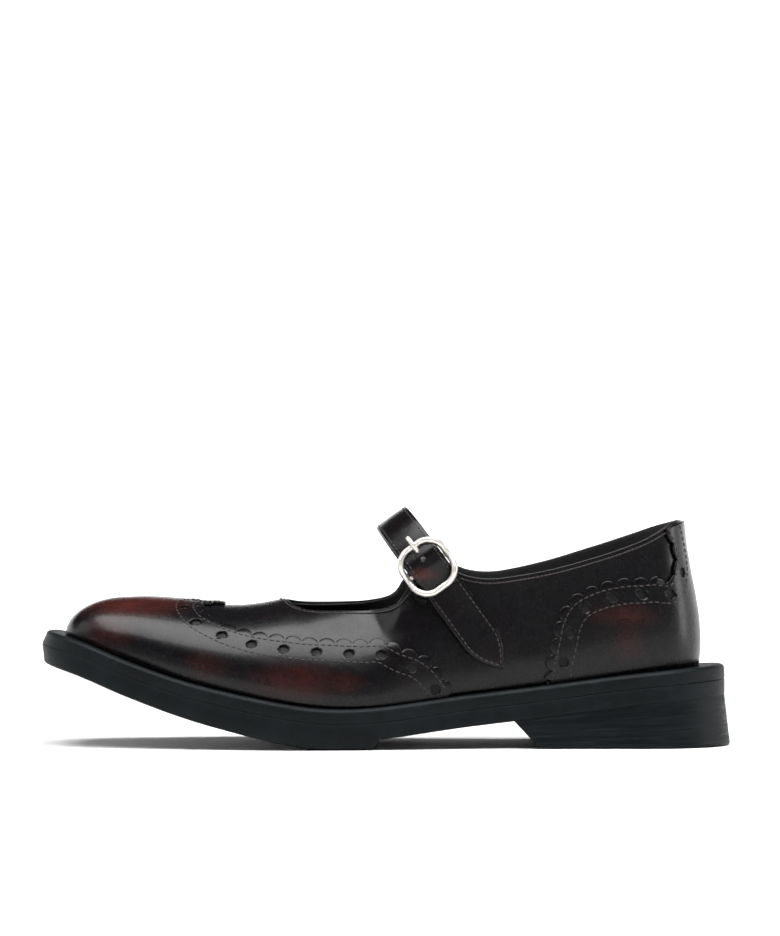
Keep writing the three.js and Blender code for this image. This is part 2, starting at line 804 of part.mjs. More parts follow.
function strapRoute() {
  const bumpStart = -12;
  const tailStep = 2.8;
  const bumpStep = 2.2;
  const lapStep = 4;
  const onArch = (side) => (turn) => ({ side, q: archFoot + archRise * Math.sin((turn * Math.PI) / 180) });
  const route = [];
  for (let q = -strapTail; q < bumpStart; q += tailStep) route.push({ side: 'lateral', q });
  for (let q = bumpStart + 1; q <= archFoot; q += bumpStep) route.push({ side: 'lateral', q });
  route.push(...archTurns.map(onArch('lateral')), onArch('medial')(90));
  route.push(...archTurns.toReversed().map(onArch('medial')));
  for (let q = archFoot; q > -strapLap; q -= lapStep) route.push({ side: 'medial', q });
  return route;
}

// Direction out of the strap at a place of its route, in the plane that it bends in
function strapNormal(side, q) {
  const sign = side === 'lateral' ? -1 : 1;
  const step = 0.2;
  const top = strapTop - strapThickness;
  if (q > top - 2 * step) return strapUp.clone();
  const slope = (strapOut(side, q + step, 0) - strapOut(side, q - step, 0)) / (2 * step);
  const steepest = -40;
  const limited = Math.max(slope, steepest);
  return new THREE.Vector3(0, sign, 0).addScaledVector(strapUp, -limited).normalize();
}

function makeStrap() {
  const rings = strapRoute().map(({ side, q }) => {
    const sign = side === 'lateral' ? -1 : 1;
    const normal = strapNormal(side, q);
    const stand = strapStandOff(side, q);
    const half = side === 'lateral' ? strapHalf(q) : strapWidth / 2;
    const corner = (across, lift) => {
      const point = strapPlace(q, across);
      point.y = sign * strapOut(side, q, across);
      return point.addScaledVector(normal, lift + stand);
    };
    return [
      corner(-half, 0),
      corner(half, 0),
      corner(half, strapThickness),
      corner(-half, strapThickness),
    ];
  });
  const strap = toSolid(loft(rings));
  const slotLength = 3.6;
  const slot = new THREE.BoxGeometry(prongDiameter + 2 * gap, 6 * strapThickness, slotLength);
  slot.rotateY(-tiltTurn);
  const slotPlace = strapPlace(slotLength / 2 + barDiameter / 2, 0);
  slot.translate(slotPlace.x, -strapSpan / 2, slotPlace.z);
  return toGeometry(strap.subtract(toSolid(slot)));
}

// A place over the strap at the buckle: along it, across it and out from its inner face
function overStrap(q, across, lift) {
  const point = strapPlace(q, across);
  const half = strapWidth / 2;
  point.y = -strapOut('lateral', q, Math.min(Math.max(across, -half), half));
  return point.addScaledVector(strapNormal('lateral', q), lift);
}

// A round wire along a route of points
function wire(points, diameter, joined) {
  const sides = 8;
  const count = points.length;
  const rings = points.map((point, k) => {
    const ahead = points[joined ? (k + 1) % count : Math.min(k + 1, count - 1)];
    const behind = points[joined ? (k + count - 1) % count : Math.max(k - 1, 0)];
    const tangent = ahead.clone().sub(behind).normalize();
    const side = new THREE.Vector3(0, 1, 0).cross(tangent);
    if (side.length() < 0.3) side.copy(strapAcross);
    side.addScaledVector(tangent, -side.dot(tangent)).normalize();
    const over = tangent.clone().cross(side);
    return Array.from({ length: sides }, (unused, n) => {
      const turn = (2 * Math.PI * n) / sides;
      return point.clone()
        .addScaledVector(side, (Math.cos(turn) * diameter) / 2)
        .addScaledVector(over, (Math.sin(turn) * diameter) / 2);
    });
  });
  return loft(rings, joined);
}

// Height of the buckle's wire over the strap's inner face: low at the bar, high at the ends
const endLift = strapThickness + buckleClearance + buckleWire / 2;
const barLift = barDiameter / 2 + 2 * gap;

function buckleLift(q) {
  const reach = buckleLength / 2 - buckleCorner + buckleWire / 2;
  const share = Math.min(Math.abs(q) / reach, 1);
  return barLift + (endLift - barLift) * share * share * (3 - 2 * share);
}

function makeBuckleFrame() {
  const halfLength = (buckleLength - buckleWire) / 2;
  const halfBreadth = (buckleBreadth - buckleWire) / 2;
  const route = [];
  const cornerSteps = 4;
  const corners = [[1, 1, 0], [1, -1, 90], [-1, -1, 180], [-1, 1, 270]];
  for (const [alongSign, acrossSign, start] of corners) {
    for (let k = 0; k <= cornerSteps; k += 1) {
      const turn = ((start + (90 * k) / cornerSteps) * Math.PI) / 180;
      const q = alongSign * (halfLength - buckleCorner) + buckleCorner * Math.sin(turn);
      const across = acrossSign * (halfBreadth - buckleCorner) + buckleCorner * Math.cos(turn);
      route.push([q, across]);
    }
    if (alongSign !== acrossSign) route.push([0, acrossSign * halfBreadth]);
  }
  const points = route.map(([q, across]) => overStrap(q, across, buckleLift(q)));
  const bar = [-1, 1].map((sign) => overStrap(0, sign * halfBreadth, barLift));
  const frame = toSolid(wire(points, buckleWire, true));
  return toGeometry(frame.add(toSolid(wire(bar, barDiameter, false))));
}

// The prong's course: beside the bar, up through its slot, over the strap and onto the frame's end
function makeProng() {
  const start = (barDiameter + prongDiameter) / 2 + gap;
  const over = strapBump + strapThickness + gap + prongDiameter / 2;
  const rest = endLift + buckleWire / 2 + gap + prongDiameter / 2;
  const endQ = (buckleLength - buckleWire) / 2;
  const overhang = 0.7 * buckleWire;
  const course = [
    { q: start + 0.2, lift: barLift },
    { q: start + 0.4, lift: barLift + 2 },
    { q: start + 1, lift: over },
    { q: start + 3, lift: over + 0.4 },
    { q: endQ, lift: rest },
    { q: endQ + overhang, lift: rest },
  ];
  return wire(course.map(({ q, lift }) => overStrap(q, 0, lift)), prongDiameter, false);
}

// Finishes
const finishes = {
  soleLeather: { color: 0x15191b, roughness: 0.6, metalness: 0 },
  lining: { color: 0x111010, roughness: 0.8, metalness: 0 },
  burnished: { color: 0x1f0d0c, roughness: 0.25, metalness: 0 },
  nickel: { color: 0xb9b4ab, roughness: 0.3, metalness: 1 },
};

function named(name, geometry, finish) {
  const material = new THREE.MeshStandardMaterial(finishes[finish]);
  const mesh = new THREE.Mesh(geometry, material);
  mesh.name = name;
  return mesh;
}

const overlaySkin = toSolid(skin(overlayGap + overlayWall, overlayGap));
const shoe = new THREE.Group();
shoe.add(named('outsole', makeOutsole(), 'soleLeather'));
shoe.add(named('welt', makeWelt(), 'soleLeather'));
shoe.add(named('heel', makeHeel(), 'soleLeather'));
shoe.add(named('insole', makeInsole(), 'lining'));
shoe.add(named('upper', skin(0, -wall), 'burnished'));
shoe.add(named('wing_cap', makeWingCap(overlaySkin), 'burnished'));
shoe.add(named('heel_counter', makeCounter(overlaySkin), 'burnished'));
shoe.add(named('strap', makeStrap(), 'burnished'));
shoe.add(named('buckle_frame', makeBuckleFrame(), 'nickel'));
shoe.add(named('buckle_prong', makeProng(), 'nickel'));

export default shoe;
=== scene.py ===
"""Left mary jane shoe: burnished brogue leather, a buckled strap, a wide low sole and a stacked heel."""
import math

import bmesh
import bpy
import numpy as np
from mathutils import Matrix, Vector


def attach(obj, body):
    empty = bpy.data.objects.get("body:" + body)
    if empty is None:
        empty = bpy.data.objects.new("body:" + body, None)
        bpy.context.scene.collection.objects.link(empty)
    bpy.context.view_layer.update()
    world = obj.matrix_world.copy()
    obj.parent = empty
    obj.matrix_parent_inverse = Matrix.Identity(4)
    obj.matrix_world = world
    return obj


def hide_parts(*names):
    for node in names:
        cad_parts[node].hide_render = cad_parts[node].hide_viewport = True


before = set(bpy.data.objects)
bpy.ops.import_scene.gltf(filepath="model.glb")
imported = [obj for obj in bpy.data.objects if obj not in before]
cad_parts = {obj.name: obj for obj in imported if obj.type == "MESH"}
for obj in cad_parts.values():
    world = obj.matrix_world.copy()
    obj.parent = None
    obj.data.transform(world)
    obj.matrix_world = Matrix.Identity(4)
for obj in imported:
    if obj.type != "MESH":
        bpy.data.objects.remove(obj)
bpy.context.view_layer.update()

bl_info = {
    "name": "Mary jane shoe",
    "version": (1, 0, 0),
    "blender": (4, 5, 0),
    "location": "3D View > Sidebar > Shoe",
    "description": "Builds a burnished brogue strap shoe around its packed model",
    "category": "Add Mesh",
}

MM = 0.001
THROAT = 0.354
CROWN_END = 0.536

# Tables of the shoe: the first column is the share of the sole's length from the toe.
# Half widths of the sole as shares of the ball width: outer side, inner side
OUTLINE = np.array([
    (0.00, 0.330, 0.330), (0.11, 0.390, 0.370), (0.20, 0.447, 0.445), (0.29, 0.487, 0.496),
    (0.37, 0.500, 0.487), (0.47, 0.480, 0.415), (0.58, 0.425, 0.340), (0.69, 0.375, 0.330),
    (0.80, 0.360, 0.352), (0.90, 0.365, 0.365), (1.00, 0.360, 0.360),
])
# Height of the sole's top face, as a share of the toe lift
TOP_FACE = np.array([
    (0.000, 1.000), (0.065, 0.889), (0.135, 0.728), (0.216, 0.568), (0.300, 0.449), (0.384, 0.358),
    (0.440, 0.335), (0.504, 0.356), (0.609, 0.438), (0.721, 0.514), (0.851, 0.611), (1.000, 0.695),
])
# Depth of the tread, as a share of its depth under the ball
TREAD = np.array([(0.00, 0.3), (0.20, 0.5), (0.36, 0.9), (0.44, 1.0)])
# Bare ledge round the upper, as a share of the toe ledge
LEDGE = np.array([
    (0.00, 0.97), (0.10, 0.80), (0.22, 0.60), (0.50, 0.52), (0.80, 0.62), (0.93, 0.86), (1.00, 1.00),
])
# Top of each section: distance out as a share of the ball width, then the height on the outer and
# the inner side as shares of the collar's height at the back
CROWN = np.array([
    (0.000, 0.000, 0.644, 0.644), (0.060, 0.000, 0.645, 0.645), (0.130, 0.000, 0.647, 0.647),
    (0.180, 0.000, 0.641, 0.641), (0.230, 0.000, 0.630, 0.630), (0.260, 0.000, 0.624, 0.624),
    (0.290, 0.000, 0.624, 0.624), (0.318, 0.000, 0.632, 0.632), (0.354, 0.000, 0.652, 0.652),
    (0.395, 0.000, 0.675, 0.675), (0.440, 0.030, 0.690, 0.700), (0.482, 0.130, 0.685, 0.715),
    (0.510, 0.250, 0.655, 0.705), (0.524, 0.300, 0.645, 0.705), (0.536, 0.309, 0.675, 0.738),
    (0.550, 0.303, 0.740, 0.790), (0.570, 0.297, 0.785, 0.825), (0.592, 0.295, 0.785, 0.820),
    (0.612, 0.294, 0.757, 0.797), (0.628, 0.292, 0.742, 0.780), (0.650, 0.290, 0.733, 0.770),
    (0.680, 0.287, 0.740, 0.775), (0.745, 0.280, 0.777, 0.820), (0.820, 0.270, 0.842, 0.890),
    (0.880, 0.260, 0.905, 0.945), (0.940, 0.250, 0.966, 0.980), (1.000, 0.240, 1.000, 1.000),
])
# Height at which the throat cuts each section, as shares of the collar's height: outer, inner
THROAT_CUT = np.array([
    (0.354, 0.652, 0.652), (0.360, 0.643, 0.648), (0.373, 0.618, 0.641), (0.395, 0.600, 0.637),
    (0.440, 0.597, 0.637), (0.482, 0.598, 0.642), (0.510, 0.611, 0.660), (0.524, 0.632, 0.690),
    (0.536, 0.675, 0.738),
])
# Section shape: swell as a share of the ball width, then rise, reach and drop as shares of the section
PROFILE = np.array([
    (0.000, 0.012, 0.45, 0.62, 0.00), (0.100, 0.030, 0.50, 0.66, 0.00), (0.250, 0.050, 0.50, 0.64, 0.00),
    (0.354, 0.050, 0.46, 0.60, 0.01), (0.400, 0.045, 0.42, 0.62, 0.10), (0.460, 0.035, 0.40, 0.55, 0.20),
    (0.530, 0.025, 0.36, 0.40, 0.32), (0.630, 0.025, 0.34, 0.30, 0.38), (0.800, 0.035, 0.36, 0.24, 0.38),
    (1.000, 0.035, 0.36, 0.20, 0.38),
])
# Cusp line of the wing cap from its peak to the rim: share of the length, then the distance out as a
# share of the ball width or else the height as a share of the collar's
CAP_EDGE = (
    (0.262, "out", 0.0), (0.252, "out", 0.045), (0.232, "out", 0.105), (0.226, "out", 0.165),
    (0.236, "height", 0.566), (0.268, "height", 0.519), (0.312, "height", 0.480),
    (0.363, "height", 0.458), (0.411, "height", 0.446), (0.468, "height", 0.438),
    (0.515, "height", 0.424), (0.545, "height", 0.390), (0.572, "height", 0.330),
    (0.588, "height", 0.262),
)
# Cusp line of the heel counter from the collar, down the back strip and forward to the rim
COUNTER_EDGE = (
    (0.907, "height", 0.93), (0.917, "height", 0.885), (0.922, "height", 0.82), (0.918, "height", 0.76),
    (0.911, "height", 0.714), (0.885, "height", 0.714), (0.846, "height", 0.706),
    (0.803, "height", 0.676), (0.773, "height", 0.625), (0.757, "height", 0.55),
    (0.750, "height", 0.46), (0.742, "height", 0.36), (0.735, "height", 0.25),
)


def cubic(x, y, slopes, at):
    """A cubic curve through places x and values y with a slope at each, at other places between them."""
    at = np.clip(at, x[0], x[-1])
    i = np.clip(np.searchsorted(x, at, side="right") - 1, 0, len(x) - 2)
    span = x[i + 1] - x[i]
    t = (at - x[i]) / span
    s = 1 - t
    return (s * s * (1 + 2 * t) * y[i] + t * t * (1 + 2 * s) * y[i + 1]
            + s * t * span * (s * slopes[i] - t * slopes[i + 1]))


def smooth(table, column, at):
    """Value of a table's column at shares of the length: a cubic through the rows, whose slope at each
    row is that of the line between its neighbours."""
    x = table[:, 0]
    y = table[:, column]
    slopes = np.empty_like(y)
    slopes[1:-1] = (y[2:] - y[:-2]) / (x[2:] - x[:-2])
    slopes[0] = (y[1] - y[0]) / (x[1] - x[0])
    slopes[-1] = (y[-1] - y[-2]) / (x[-1] - x[-2])
    return cubic(x, y, slopes, at)


def unit(vectors):
    """Vectors divided by their lengths."""
    return vectors / np.maximum(np.linalg.norm(vectors, axis=-1, keepdims=True), 1e-12)


# Soft creases of the upper: side, start and end in side view (mm), half width and depth (mm)
CREASES = (
    (-1.0, 7.0, 63.0, -3.0, 51.0, 4.0, 0.9), (-1.0, -8.0, 52.0, -26.0, 47.0, 4.5, 0.5),
    (-1.0, 10.0, 50.0, -4.0, 44.0, 4.0, 0.35), (-1.0, 52.0, 62.0, 60.0, 44.0, 6.0, 0.4),
    (1.0, 8.0, 66.0, -4.0, 53.0, 4.5, 0.8), (1.0, -10.0, 55.0, -28.0, 50.0, 4.5, 0.5),
    (1.0, 50.0, 64.0, 58.0, 46.0, 6.0, 0.4),
)


def crease_depth(sign, points):
    """Depth of the creases at points of the upper: each is a trough along a straight course in side
    view, with a smooth bell for its section, so its sides swell back evenly. The strip along the middle
    of the shoe stays bare of them."""
    bare, fade = 8.0, 12.0
    swell, spread = 0.35, 2.2
    depth = np.zeros(points.shape[:-1])
    for side, x0, z0, x1, z1, half, deep in CREASES:
        dx, dz = x1 - x0, z1 - z0
        share = ((points[..., 0] - x0) * dx + (points[..., 2] - z0) * dz) / (dx * dx + dz * dz)
        share = np.clip(share, 0, 1)
        away = np.hypot(points[..., 0] - x0 - share * dx, points[..., 2] - z0 - share * dz)
        out = np.clip((np.abs(points[..., 1]) - bare) / fade, 0, 1)
        bell = np.exp(-(away / half) ** 2) - swell * np.exp(-(away / (spread * half)) ** 2)
        depth += np.where(sign == side, deep * bell * out, 0.0)
    return depth


class Last:
    """The shoe's form as functions. A place round the outline is a number p from 0 at the toe to 1 at
    the heel on one side, and a height on a section is a number w from 0 at the rim to 1 at its top."""

    def __init__(self, sizes):
        self.length = sizes.sole_length / MM
        self.toe = sizes.toe_x / MM
        self.ball = sizes.ball_width / MM
        self.collar = sizes.collar_height / MM
        self.lift = sizes.toe_lift / MM
        self.ledge = sizes.ledge_width / MM
        self.welt = sizes.welt_thickness / MM
        self.outsole = sizes.outsole_thickness / MM
        self.tread = sizes.tread_depth / MM
        self.wall = sizes.upper_wall / MM
        self.gap = 0.3
        self.toe_round = 31.0
        self.toe_power = 2.9
        self.heel_round = 37.0
        self.heel_power = 2.2
        self.zone = 0.125
        self.toe_share = self.toe_round / self.length
        self.heel_share = self.heel_round / self.length
        self.toe_setback = 23.0
        self.heel_lean = 5.6
        self.toe_wall_lean = 2.0

    def share(self, x):
        return (x - self.toe) / self.length

    def station(self, p):
        """Share of the length and roundness factor at p: the first eighth runs round the toe on a
        squarish curve, the last eighth round the heel, and the rest goes straight along."""
        zone, toe_share, heel_share = self.zone, self.toe_share, self.heel_share
        toe_turn = np.clip(p / zone, 0, 1) * math.pi / 2
        heel_turn = np.clip((1 - p) / zone, 0, 1) * math.pi / 2
        toe_along = 1 - np.maximum(np.cos(toe_turn), 0) ** (2 / self.toe_power)
        heel_along = 1 - np.maximum(np.cos(heel_turn), 0) ** (2 / self.heel_power)
        middle = np.clip((p - zone) / (1 - 2 * zone), 0, 1)
        at = toe_share + middle * (1 - toe_share - heel_share)
        at = np.where(p < zone, toe_share * toe_along, at)
        at = np.where(p > 1 - zone, 1 - heel_share * heel_along, at)
        factor = np.where(p < zone, np.sin(toe_turn) ** (2 / self.toe_power), 1.0)
        factor = np.where(p > 1 - zone, np.sin(heel_turn) ** (2 / self.heel_power), factor)
        return at, factor

    def p_of(self, at):
        """The p of a share of the length between the round ends."""
        zone, toe_share, heel_share = self.zone, self.toe_share, self.heel_share
        return zone + (at - toe_share) / (1 - toe_share - heel_share) * (1 - 2 * zone)

    def edge(self, sign, p):
        """The sole's outline: X and Y at p on a side. Past the toe or the heel it is the other side's."""
        sign = np.where((p < 0) | (p > 1), -sign, sign)
        p = np.abs(p)
        p = np.where(p > 1, 2 - p, p)
        at, factor = self.station(p)
        half = np.where(sign < 0, smooth(OUTLINE, 1, at), smooth(OUTLINE, 2, at))
        return self.toe + at * self.length, sign * half * self.ball * factor

    def out(self, sign, p):
        """The direction out of the outline, square to the line between two near places on it."""
        step = 0.006
        x0, y0 = self.edge(sign, p - step)
        x1, y1 = self.edge(sign, p + step)
        dx = x1 - x0
        dy = y1 - y0
        size = np.hypot(dx, dy)
        nx = np.where(p <= 0, -1.0, np.where(p >= 1, 1.0, -sign * dy / size))
        ny = np.where((p <= 0) | (p >= 1), 0.0, sign * dx / size)
        return nx, ny

    def sole_top(self, x):
        return smooth(TOP_FACE, 1, self.share(x)) * self.lift

    def welt_bottom(self, x):
        return self.sole_top(x) - self.welt

    def outsole_bottom(self, x):
        return self.welt_bottom(x) - self.outsole

    def toe_lean(self, at):
        return self.toe_wall_lean * np.maximum(1 - at / 0.12, 0)

    def inset_edge(self, sign, p, inset):
        """The outline moved in by a distance."""
        x, y = self.edge(sign, p)
        nx, ny = self.out(sign, p)
        return x - nx * inset, y - ny * inset

    def corners(self, sign, p):
        """The four points that shape a section: its foot, the swell above it, the place that it turns
        over from, and its crown."""
        at, factor = self.station(np.clip(p, 0, 1))
        ledge = smooth(LEDGE, 1, at) * self.ledge
        edge_x, edge_y = self.edge(sign, p)
        nx, ny = self.out(sign, p)
        foot_x, foot_y = edge_x - nx * ledge, edge_y - ny * ledge
        other_nx, _ = self.out(-sign, p)
        middle_x = edge_x - (nx + other_nx) / 2 * ledge
        foot_z = self.sole_top(foot_x) + self.gap
        toe_share = np.maximum(1 - (middle_x - self.toe - self.ledge) / (2.2 * self.toe_setback), 0)
        heel_share = np.maximum(1 - (1 - at) * 5, 0)
        top_x = middle_x + self.toe_setback * toe_share ** 2 - self.heel_lean * heel_share ** 2
        top_y = sign * smooth(CROWN, 1, at) * self.ball * factor
        top_z = np.where(sign < 0, smooth(CROWN, 2, at), smooth(CROWN, 3, at)) * self.collar
        swell = smooth(PROFILE, 1, at) * self.ball
        rise = smooth(PROFILE, 2, at) * (top_z - foot_z)
        reach = smooth(PROFILE, 3, at)
        drop = smooth(PROFILE, 4, at) * (top_z - foot_z)
        rows = ((foot_x, foot_y, foot_z),
                (foot_x + nx * swell, foot_y + ny * swell, foot_z + rise),
                (top_x + reach * (foot_x - top_x), top_y + reach * (foot_y - top_y), top_z - drop),
                (top_x, top_y, top_z))
        return [np.stack(np.broadcast_arrays(*row), axis=-1) for row in rows]

    @staticmethod
    def bend(corners, w):
        """The cubic curve of four points at w."""
        a, b, c, d = corners
        w = np.asarray(w, dtype=float)[..., None]
        s = 1 - w
        return s ** 3 * a + 3 * s * s * w * b + 3 * s * w * w * c + w ** 3 * d

    def section(self, sign, p, w):
        """A section of the upper: a cubic curve from the foot line, out and up by the swell, then over
        by its reach and drop to the crown."""
        return self.bend(self.corners(sign, p), w)

    def cut_share(self, sign, p):
        """Share of a section that lies below the throat's opening, found by halving."""
        at, _ = self.station(p)
        wanted = np.where(sign < 0, smooth(THROAT_CUT, 1, at), smooth(THROAT_CUT, 2, at)) * self.collar
        low = np.full_like(at, 0.4)
        high = np.ones_like(at)
        corners = self.corners(sign, p)
        for _ in range(26):
            middle = (low + high) / 2
            lower = self.bend(corners, middle)[..., 2] < wanted
            low = np.where(lower, middle, low)
            high = np.where(lower, high, middle)
        return np.where((at <= THROAT + 1e-6) | (at > CROWN_END), 1.0, (low + high) / 2)

    def up_to_w(self, sign, p, up):
        """Turns a share of the way up to the collar into a share of the whole section."""
        missing = 1 - self.cut_share(sign, p)
        fade = np.minimum(0.8 / np.maximum(missing, 0.001) - 1, 8)
        return up * (1 - missing * up ** fade)

    def normal(self, sign, p, w):
        """The direction out of the upper's face, from its two slopes."""
        step = 1e-3
        q = np.maximum(p, 0.004)
        ahead = self.section_wrapped(sign, q + step, w)
        behind = self.section_wrapped(sign, q - step, w)
        above = self.section(sign, np.clip(q, 0, 1), w + step)
        below = self.section(sign, np.clip(q, 0, 1), w - step)
        normal = unit(np.cross(ahead - behind, above - below)) * -np.asarray(sign)[..., None]
        flat = np.array([1.0, 0.0, 1.0])
        at, _ = self.station(np.clip(p, 0, 1))
        middle = (p <= 0) | (p >= 1) | ((w >= 1) & (at <= THROAT + 1e-6))
        middle = np.broadcast_to(np.broadcast_to(middle, normal.shape[:-1])[..., None], normal.shape)
        return unit(np.where(middle, normal * flat, normal))

    def section_wrapped(self, sign, p, w):
        """A section past the heel is the other side's."""
        past = p > 1
        here = self.section(sign, np.where(past, 1.0, p), w)
        there = self.section(-sign, np.clip(2 - p, 0, 1), w)
        return np.where(np.broadcast_to(past[..., None], here.shape), there, here)

    def offset(self, sign, p, w, distance):
        """A point of the face moved out of it. Along the foot it moves level and stays on the sole."""
        point = self.section(sign, p, w)
        normal = self.normal(sign, p, w)
        low = np.clip(1 - w / 0.08, 0, 1)[..., None]
        level = unit(normal * np.array([1.0, 1.0, 0.0]))
        normal = unit(normal * (1 - low) + level * low)
        level_share = np.clip(w / 0.2, 0, 1)
        distance = np.asarray(distance) - crease_depth(sign, point) * level_share
        moved = point + normal * distance[..., None]
        on_foot = np.broadcast_to(w <= 0, moved[..., 2].shape)
        moved[..., 2] = np.where(on_foot, self.sole_top(moved[..., 0]) + self.gap, moved[..., 2])
        return moved

    def locate(self, sign, at, kind, value):
        """The p and w of points given by their share of the length and their height or distance out,
        found by halving both."""
        x = self.toe + at * self.length
        value = value * np.where(kind == "height", self.collar, self.ball)

        def solve_w(p):
            low = np.where(kind == "height", 0.0, 0.4)
            high = np.ones_like(p)
            corners = self.corners(sign, p)
            for _ in range(20):
                middle = (low + high) / 2
                point = self.bend(corners, middle)
                below = np.where(kind == "height", point[..., 2] < value, np.abs(point[..., 1]) > value)
                low = np.where(below, middle, low)
                high = np.where(below, high, middle)
            return (low + high) / 2

        low = np.zeros_like(x)
        high = np.ones_like(x)
        for _ in range(20):
            middle = (low + high) / 2
            before = self.section(sign, middle, solve_w(middle))[..., 0] < x
            low = np.where(before, middle, low)
            high = np.where(before, high, middle)
        p = (low + high) / 2
        return p, solve_w(p)

    def along_surface(self, sign, p, w, moves):
        """Moves points over the face by short steps in millimetres: each step is shared between p and w
        by solving the two slopes there for it."""
        step = 1e-3
        slope_p = (self.section_wrapped(sign, p + step, w) - self.section(sign, np.maximum(p - step, 0), w))
        slope_p = slope_p / (2 * step)
        slope_w = (self.section(sign, p, w + step) - self.section(sign, p, w - step)) / (2 * step)
        pp = np.sum(slope_p * slope_p, axis=-1)
        pw = np.sum(slope_p * slope_w, axis=-1)
        ww = np.sum(slope_w * slope_w, axis=-1)
        mp = np.sum(slope_p * moves, axis=-1)
        mw = np.sum(slope_w * moves, axis=-1)
        size = np.maximum(pp * ww - pw * pw, 1e-9)
        return p + (ww * mp - pw * mw) / size, w + (pp * mw - pw * mp) / size


def resample(path, count, weights=None):
    """A path of rows, even along its length by the first three columns unless weights make it denser
    somewhere. Every column is carried along."""
    steps = np.linalg.norm(np.diff(path[:, :3], axis=0), axis=1)
    if weights is not None:
        steps = steps * (weights[1:] + weights[:-1]) / 2
    run = np.concatenate([[0], np.cumsum(steps)])
    wanted = np.linspace(0, run[-1], count)
    return np.stack([np.interp(wanted, run, path[:, k]) for k in range(path.shape[1])], axis=1)


def through(rows, count):
    """A smooth curve through rows of numbers: a cubic in each column over the length walked so far,
    with the slope between the neighbours at every row."""
    rows = np.asarray(rows, dtype=float)
    steps = np.linalg.norm(np.diff(rows[:, :3], axis=0), axis=1)
    run = np.concatenate([[0], np.cumsum(steps)])
    wanted = np.linspace(0, run[-1], count)
    return np.stack([cubic(run, y, np.gradient(y, run), wanted) for y in rows.T], axis=1)


class Patchwork:
    """The points and faces of one piece, gathered in whole grids, in millimetres."""

    def __init__(self):
        self.points = []
        self.quads = []
        self.slots = []
        self.count = 0

    def grid(self, points, flip=False, wrap=False, slot=0):
        """Joins a grid of points by quads. A wrapped grid joins its last column to its first."""
        rows, columns = points.shape[:2]
        ids = self.count + np.arange(rows * columns).reshape(rows, columns)
        if wrap:
            ids = np.hstack([ids, ids[:, :1]])
        corners = [ids[:-1, :-1], ids[1:, :-1], ids[1:, 1:], ids[:-1, 1:]]
        quads = np.stack(corners[::-1] if flip else corners, axis=-1).reshape(-1, 4)
        self.points.append(points.reshape(-1, 3))
        self.quads.append(quads)
        self.slots.append(np.full(len(quads), slot))
        self.count += rows * columns

    def build(self, name, weld=0.004, outward=True):
        """Makes the object: grids joined where their points meet, empty faces taken out, faces turned
        out and shaded smooth."""
        points = np.concatenate(self.points) * MM
        quads = np.concatenate(self.quads)
        slots = np.concatenate(self.slots)
        mesh = bpy.data.meshes.new(name)
        mesh.vertices.add(len(points))
        mesh.vertices.foreach_set("co", points.ravel())
        mesh.loops.add(quads.size)
        mesh.loops.foreach_set("vertex_index", quads.ravel())
        mesh.polygons.add(len(quads))
        mesh.polygons.foreach_set("loop_start", np.arange(0, quads.size, 4))
        mesh.polygons.foreach_set("material_index", slots)
        mesh.update(calc_edges=True)
        work = bmesh.new()
        work.from_mesh(mesh)
        bmesh.ops.remove_doubles(work, verts=work.verts, dist=weld * MM)
        bmesh.ops.dissolve_degenerate(work, edges=work.edges, dist=weld * MM / 4)
        if outward:
            bmesh.ops.recalc_face_normals(work, faces=work.faces)
            if work.calc_volume(signed=True) < 0:
                bmesh.ops.reverse_faces(work, faces=work.faces)
        work.to_mesh(mesh)
        work.free()
        mesh.polygons.foreach_set("use_smooth", np.ones(len(mesh.polygons), dtype=bool))
        obj = bpy.data.objects.new(name, mesh)
        bpy.context.scene.collection.objects.link(obj)
        return obj


def tube(work, path, radius, sides, closed=False, level=(0.0, 1.0, 0.0), slot=0):
    """A round wire: at each place of its path a circle square to the path's direction. The ends of an
    open wire are rounded off over half its own thickness."""
    ahead = np.roll(path, -1, axis=0)
    behind = np.roll(path, 1, axis=0)
    if not closed:
        ahead[-1] = path[-1]
        behind[0] = path[0]
    tangent = unit(ahead - behind)
    side = unit(np.cross(np.broadcast_to(np.array(level), tangent.shape), tangent))
    over = np.cross(tangent, side)
    radii = np.broadcast_to(np.asarray(radius, dtype=float), (len(path),)).copy()
    centres = path
    if not closed:
        caps = np.array([0.98, 0.8, 0.5, 0.2])
        grow = np.sqrt(1 - caps ** 2)
        more = len(caps)
        start = path[:1] - tangent[:1] * (caps[:, None] * radii[0])
        end = path[-1:] + tangent[-1:] * (caps[::-1, None] * radii[-1])
        centres = np.concatenate([start, path, end])
        side = np.concatenate([np.repeat(side[:1], more, 0), side, np.repeat(side[-1:], more, 0)])
        over = np.concatenate([np.repeat(over[:1], more, 0), over, np.repeat(over[-1:], more, 0)])
        radii = np.concatenate([grow * radii[0], radii, grow[::-1] * radii[-1]])
        tips = [path[:1] - tangent[:1] * radii[more], path[-1:] + tangent[-1:] * radii[-more - 1]]
    turn = np.linspace(0, 2 * math.pi, sides, endpoint=False)
    ring = (centres[:, None] + side[:, None] * (np.cos(turn) * radii[:, None])[..., None]
            + over[:, None] * (np.sin(turn) * radii[:, None])[..., None])
    if closed:
        ring = np.concatenate([ring, ring[:1]])
    else:
        ring = np.concatenate([np.repeat(tips[0][:, None], sides, 1), ring,
                               np.repeat(tips[1][:, None], sides, 1)])
    work.grid(ring, wrap=True, slot=slot)


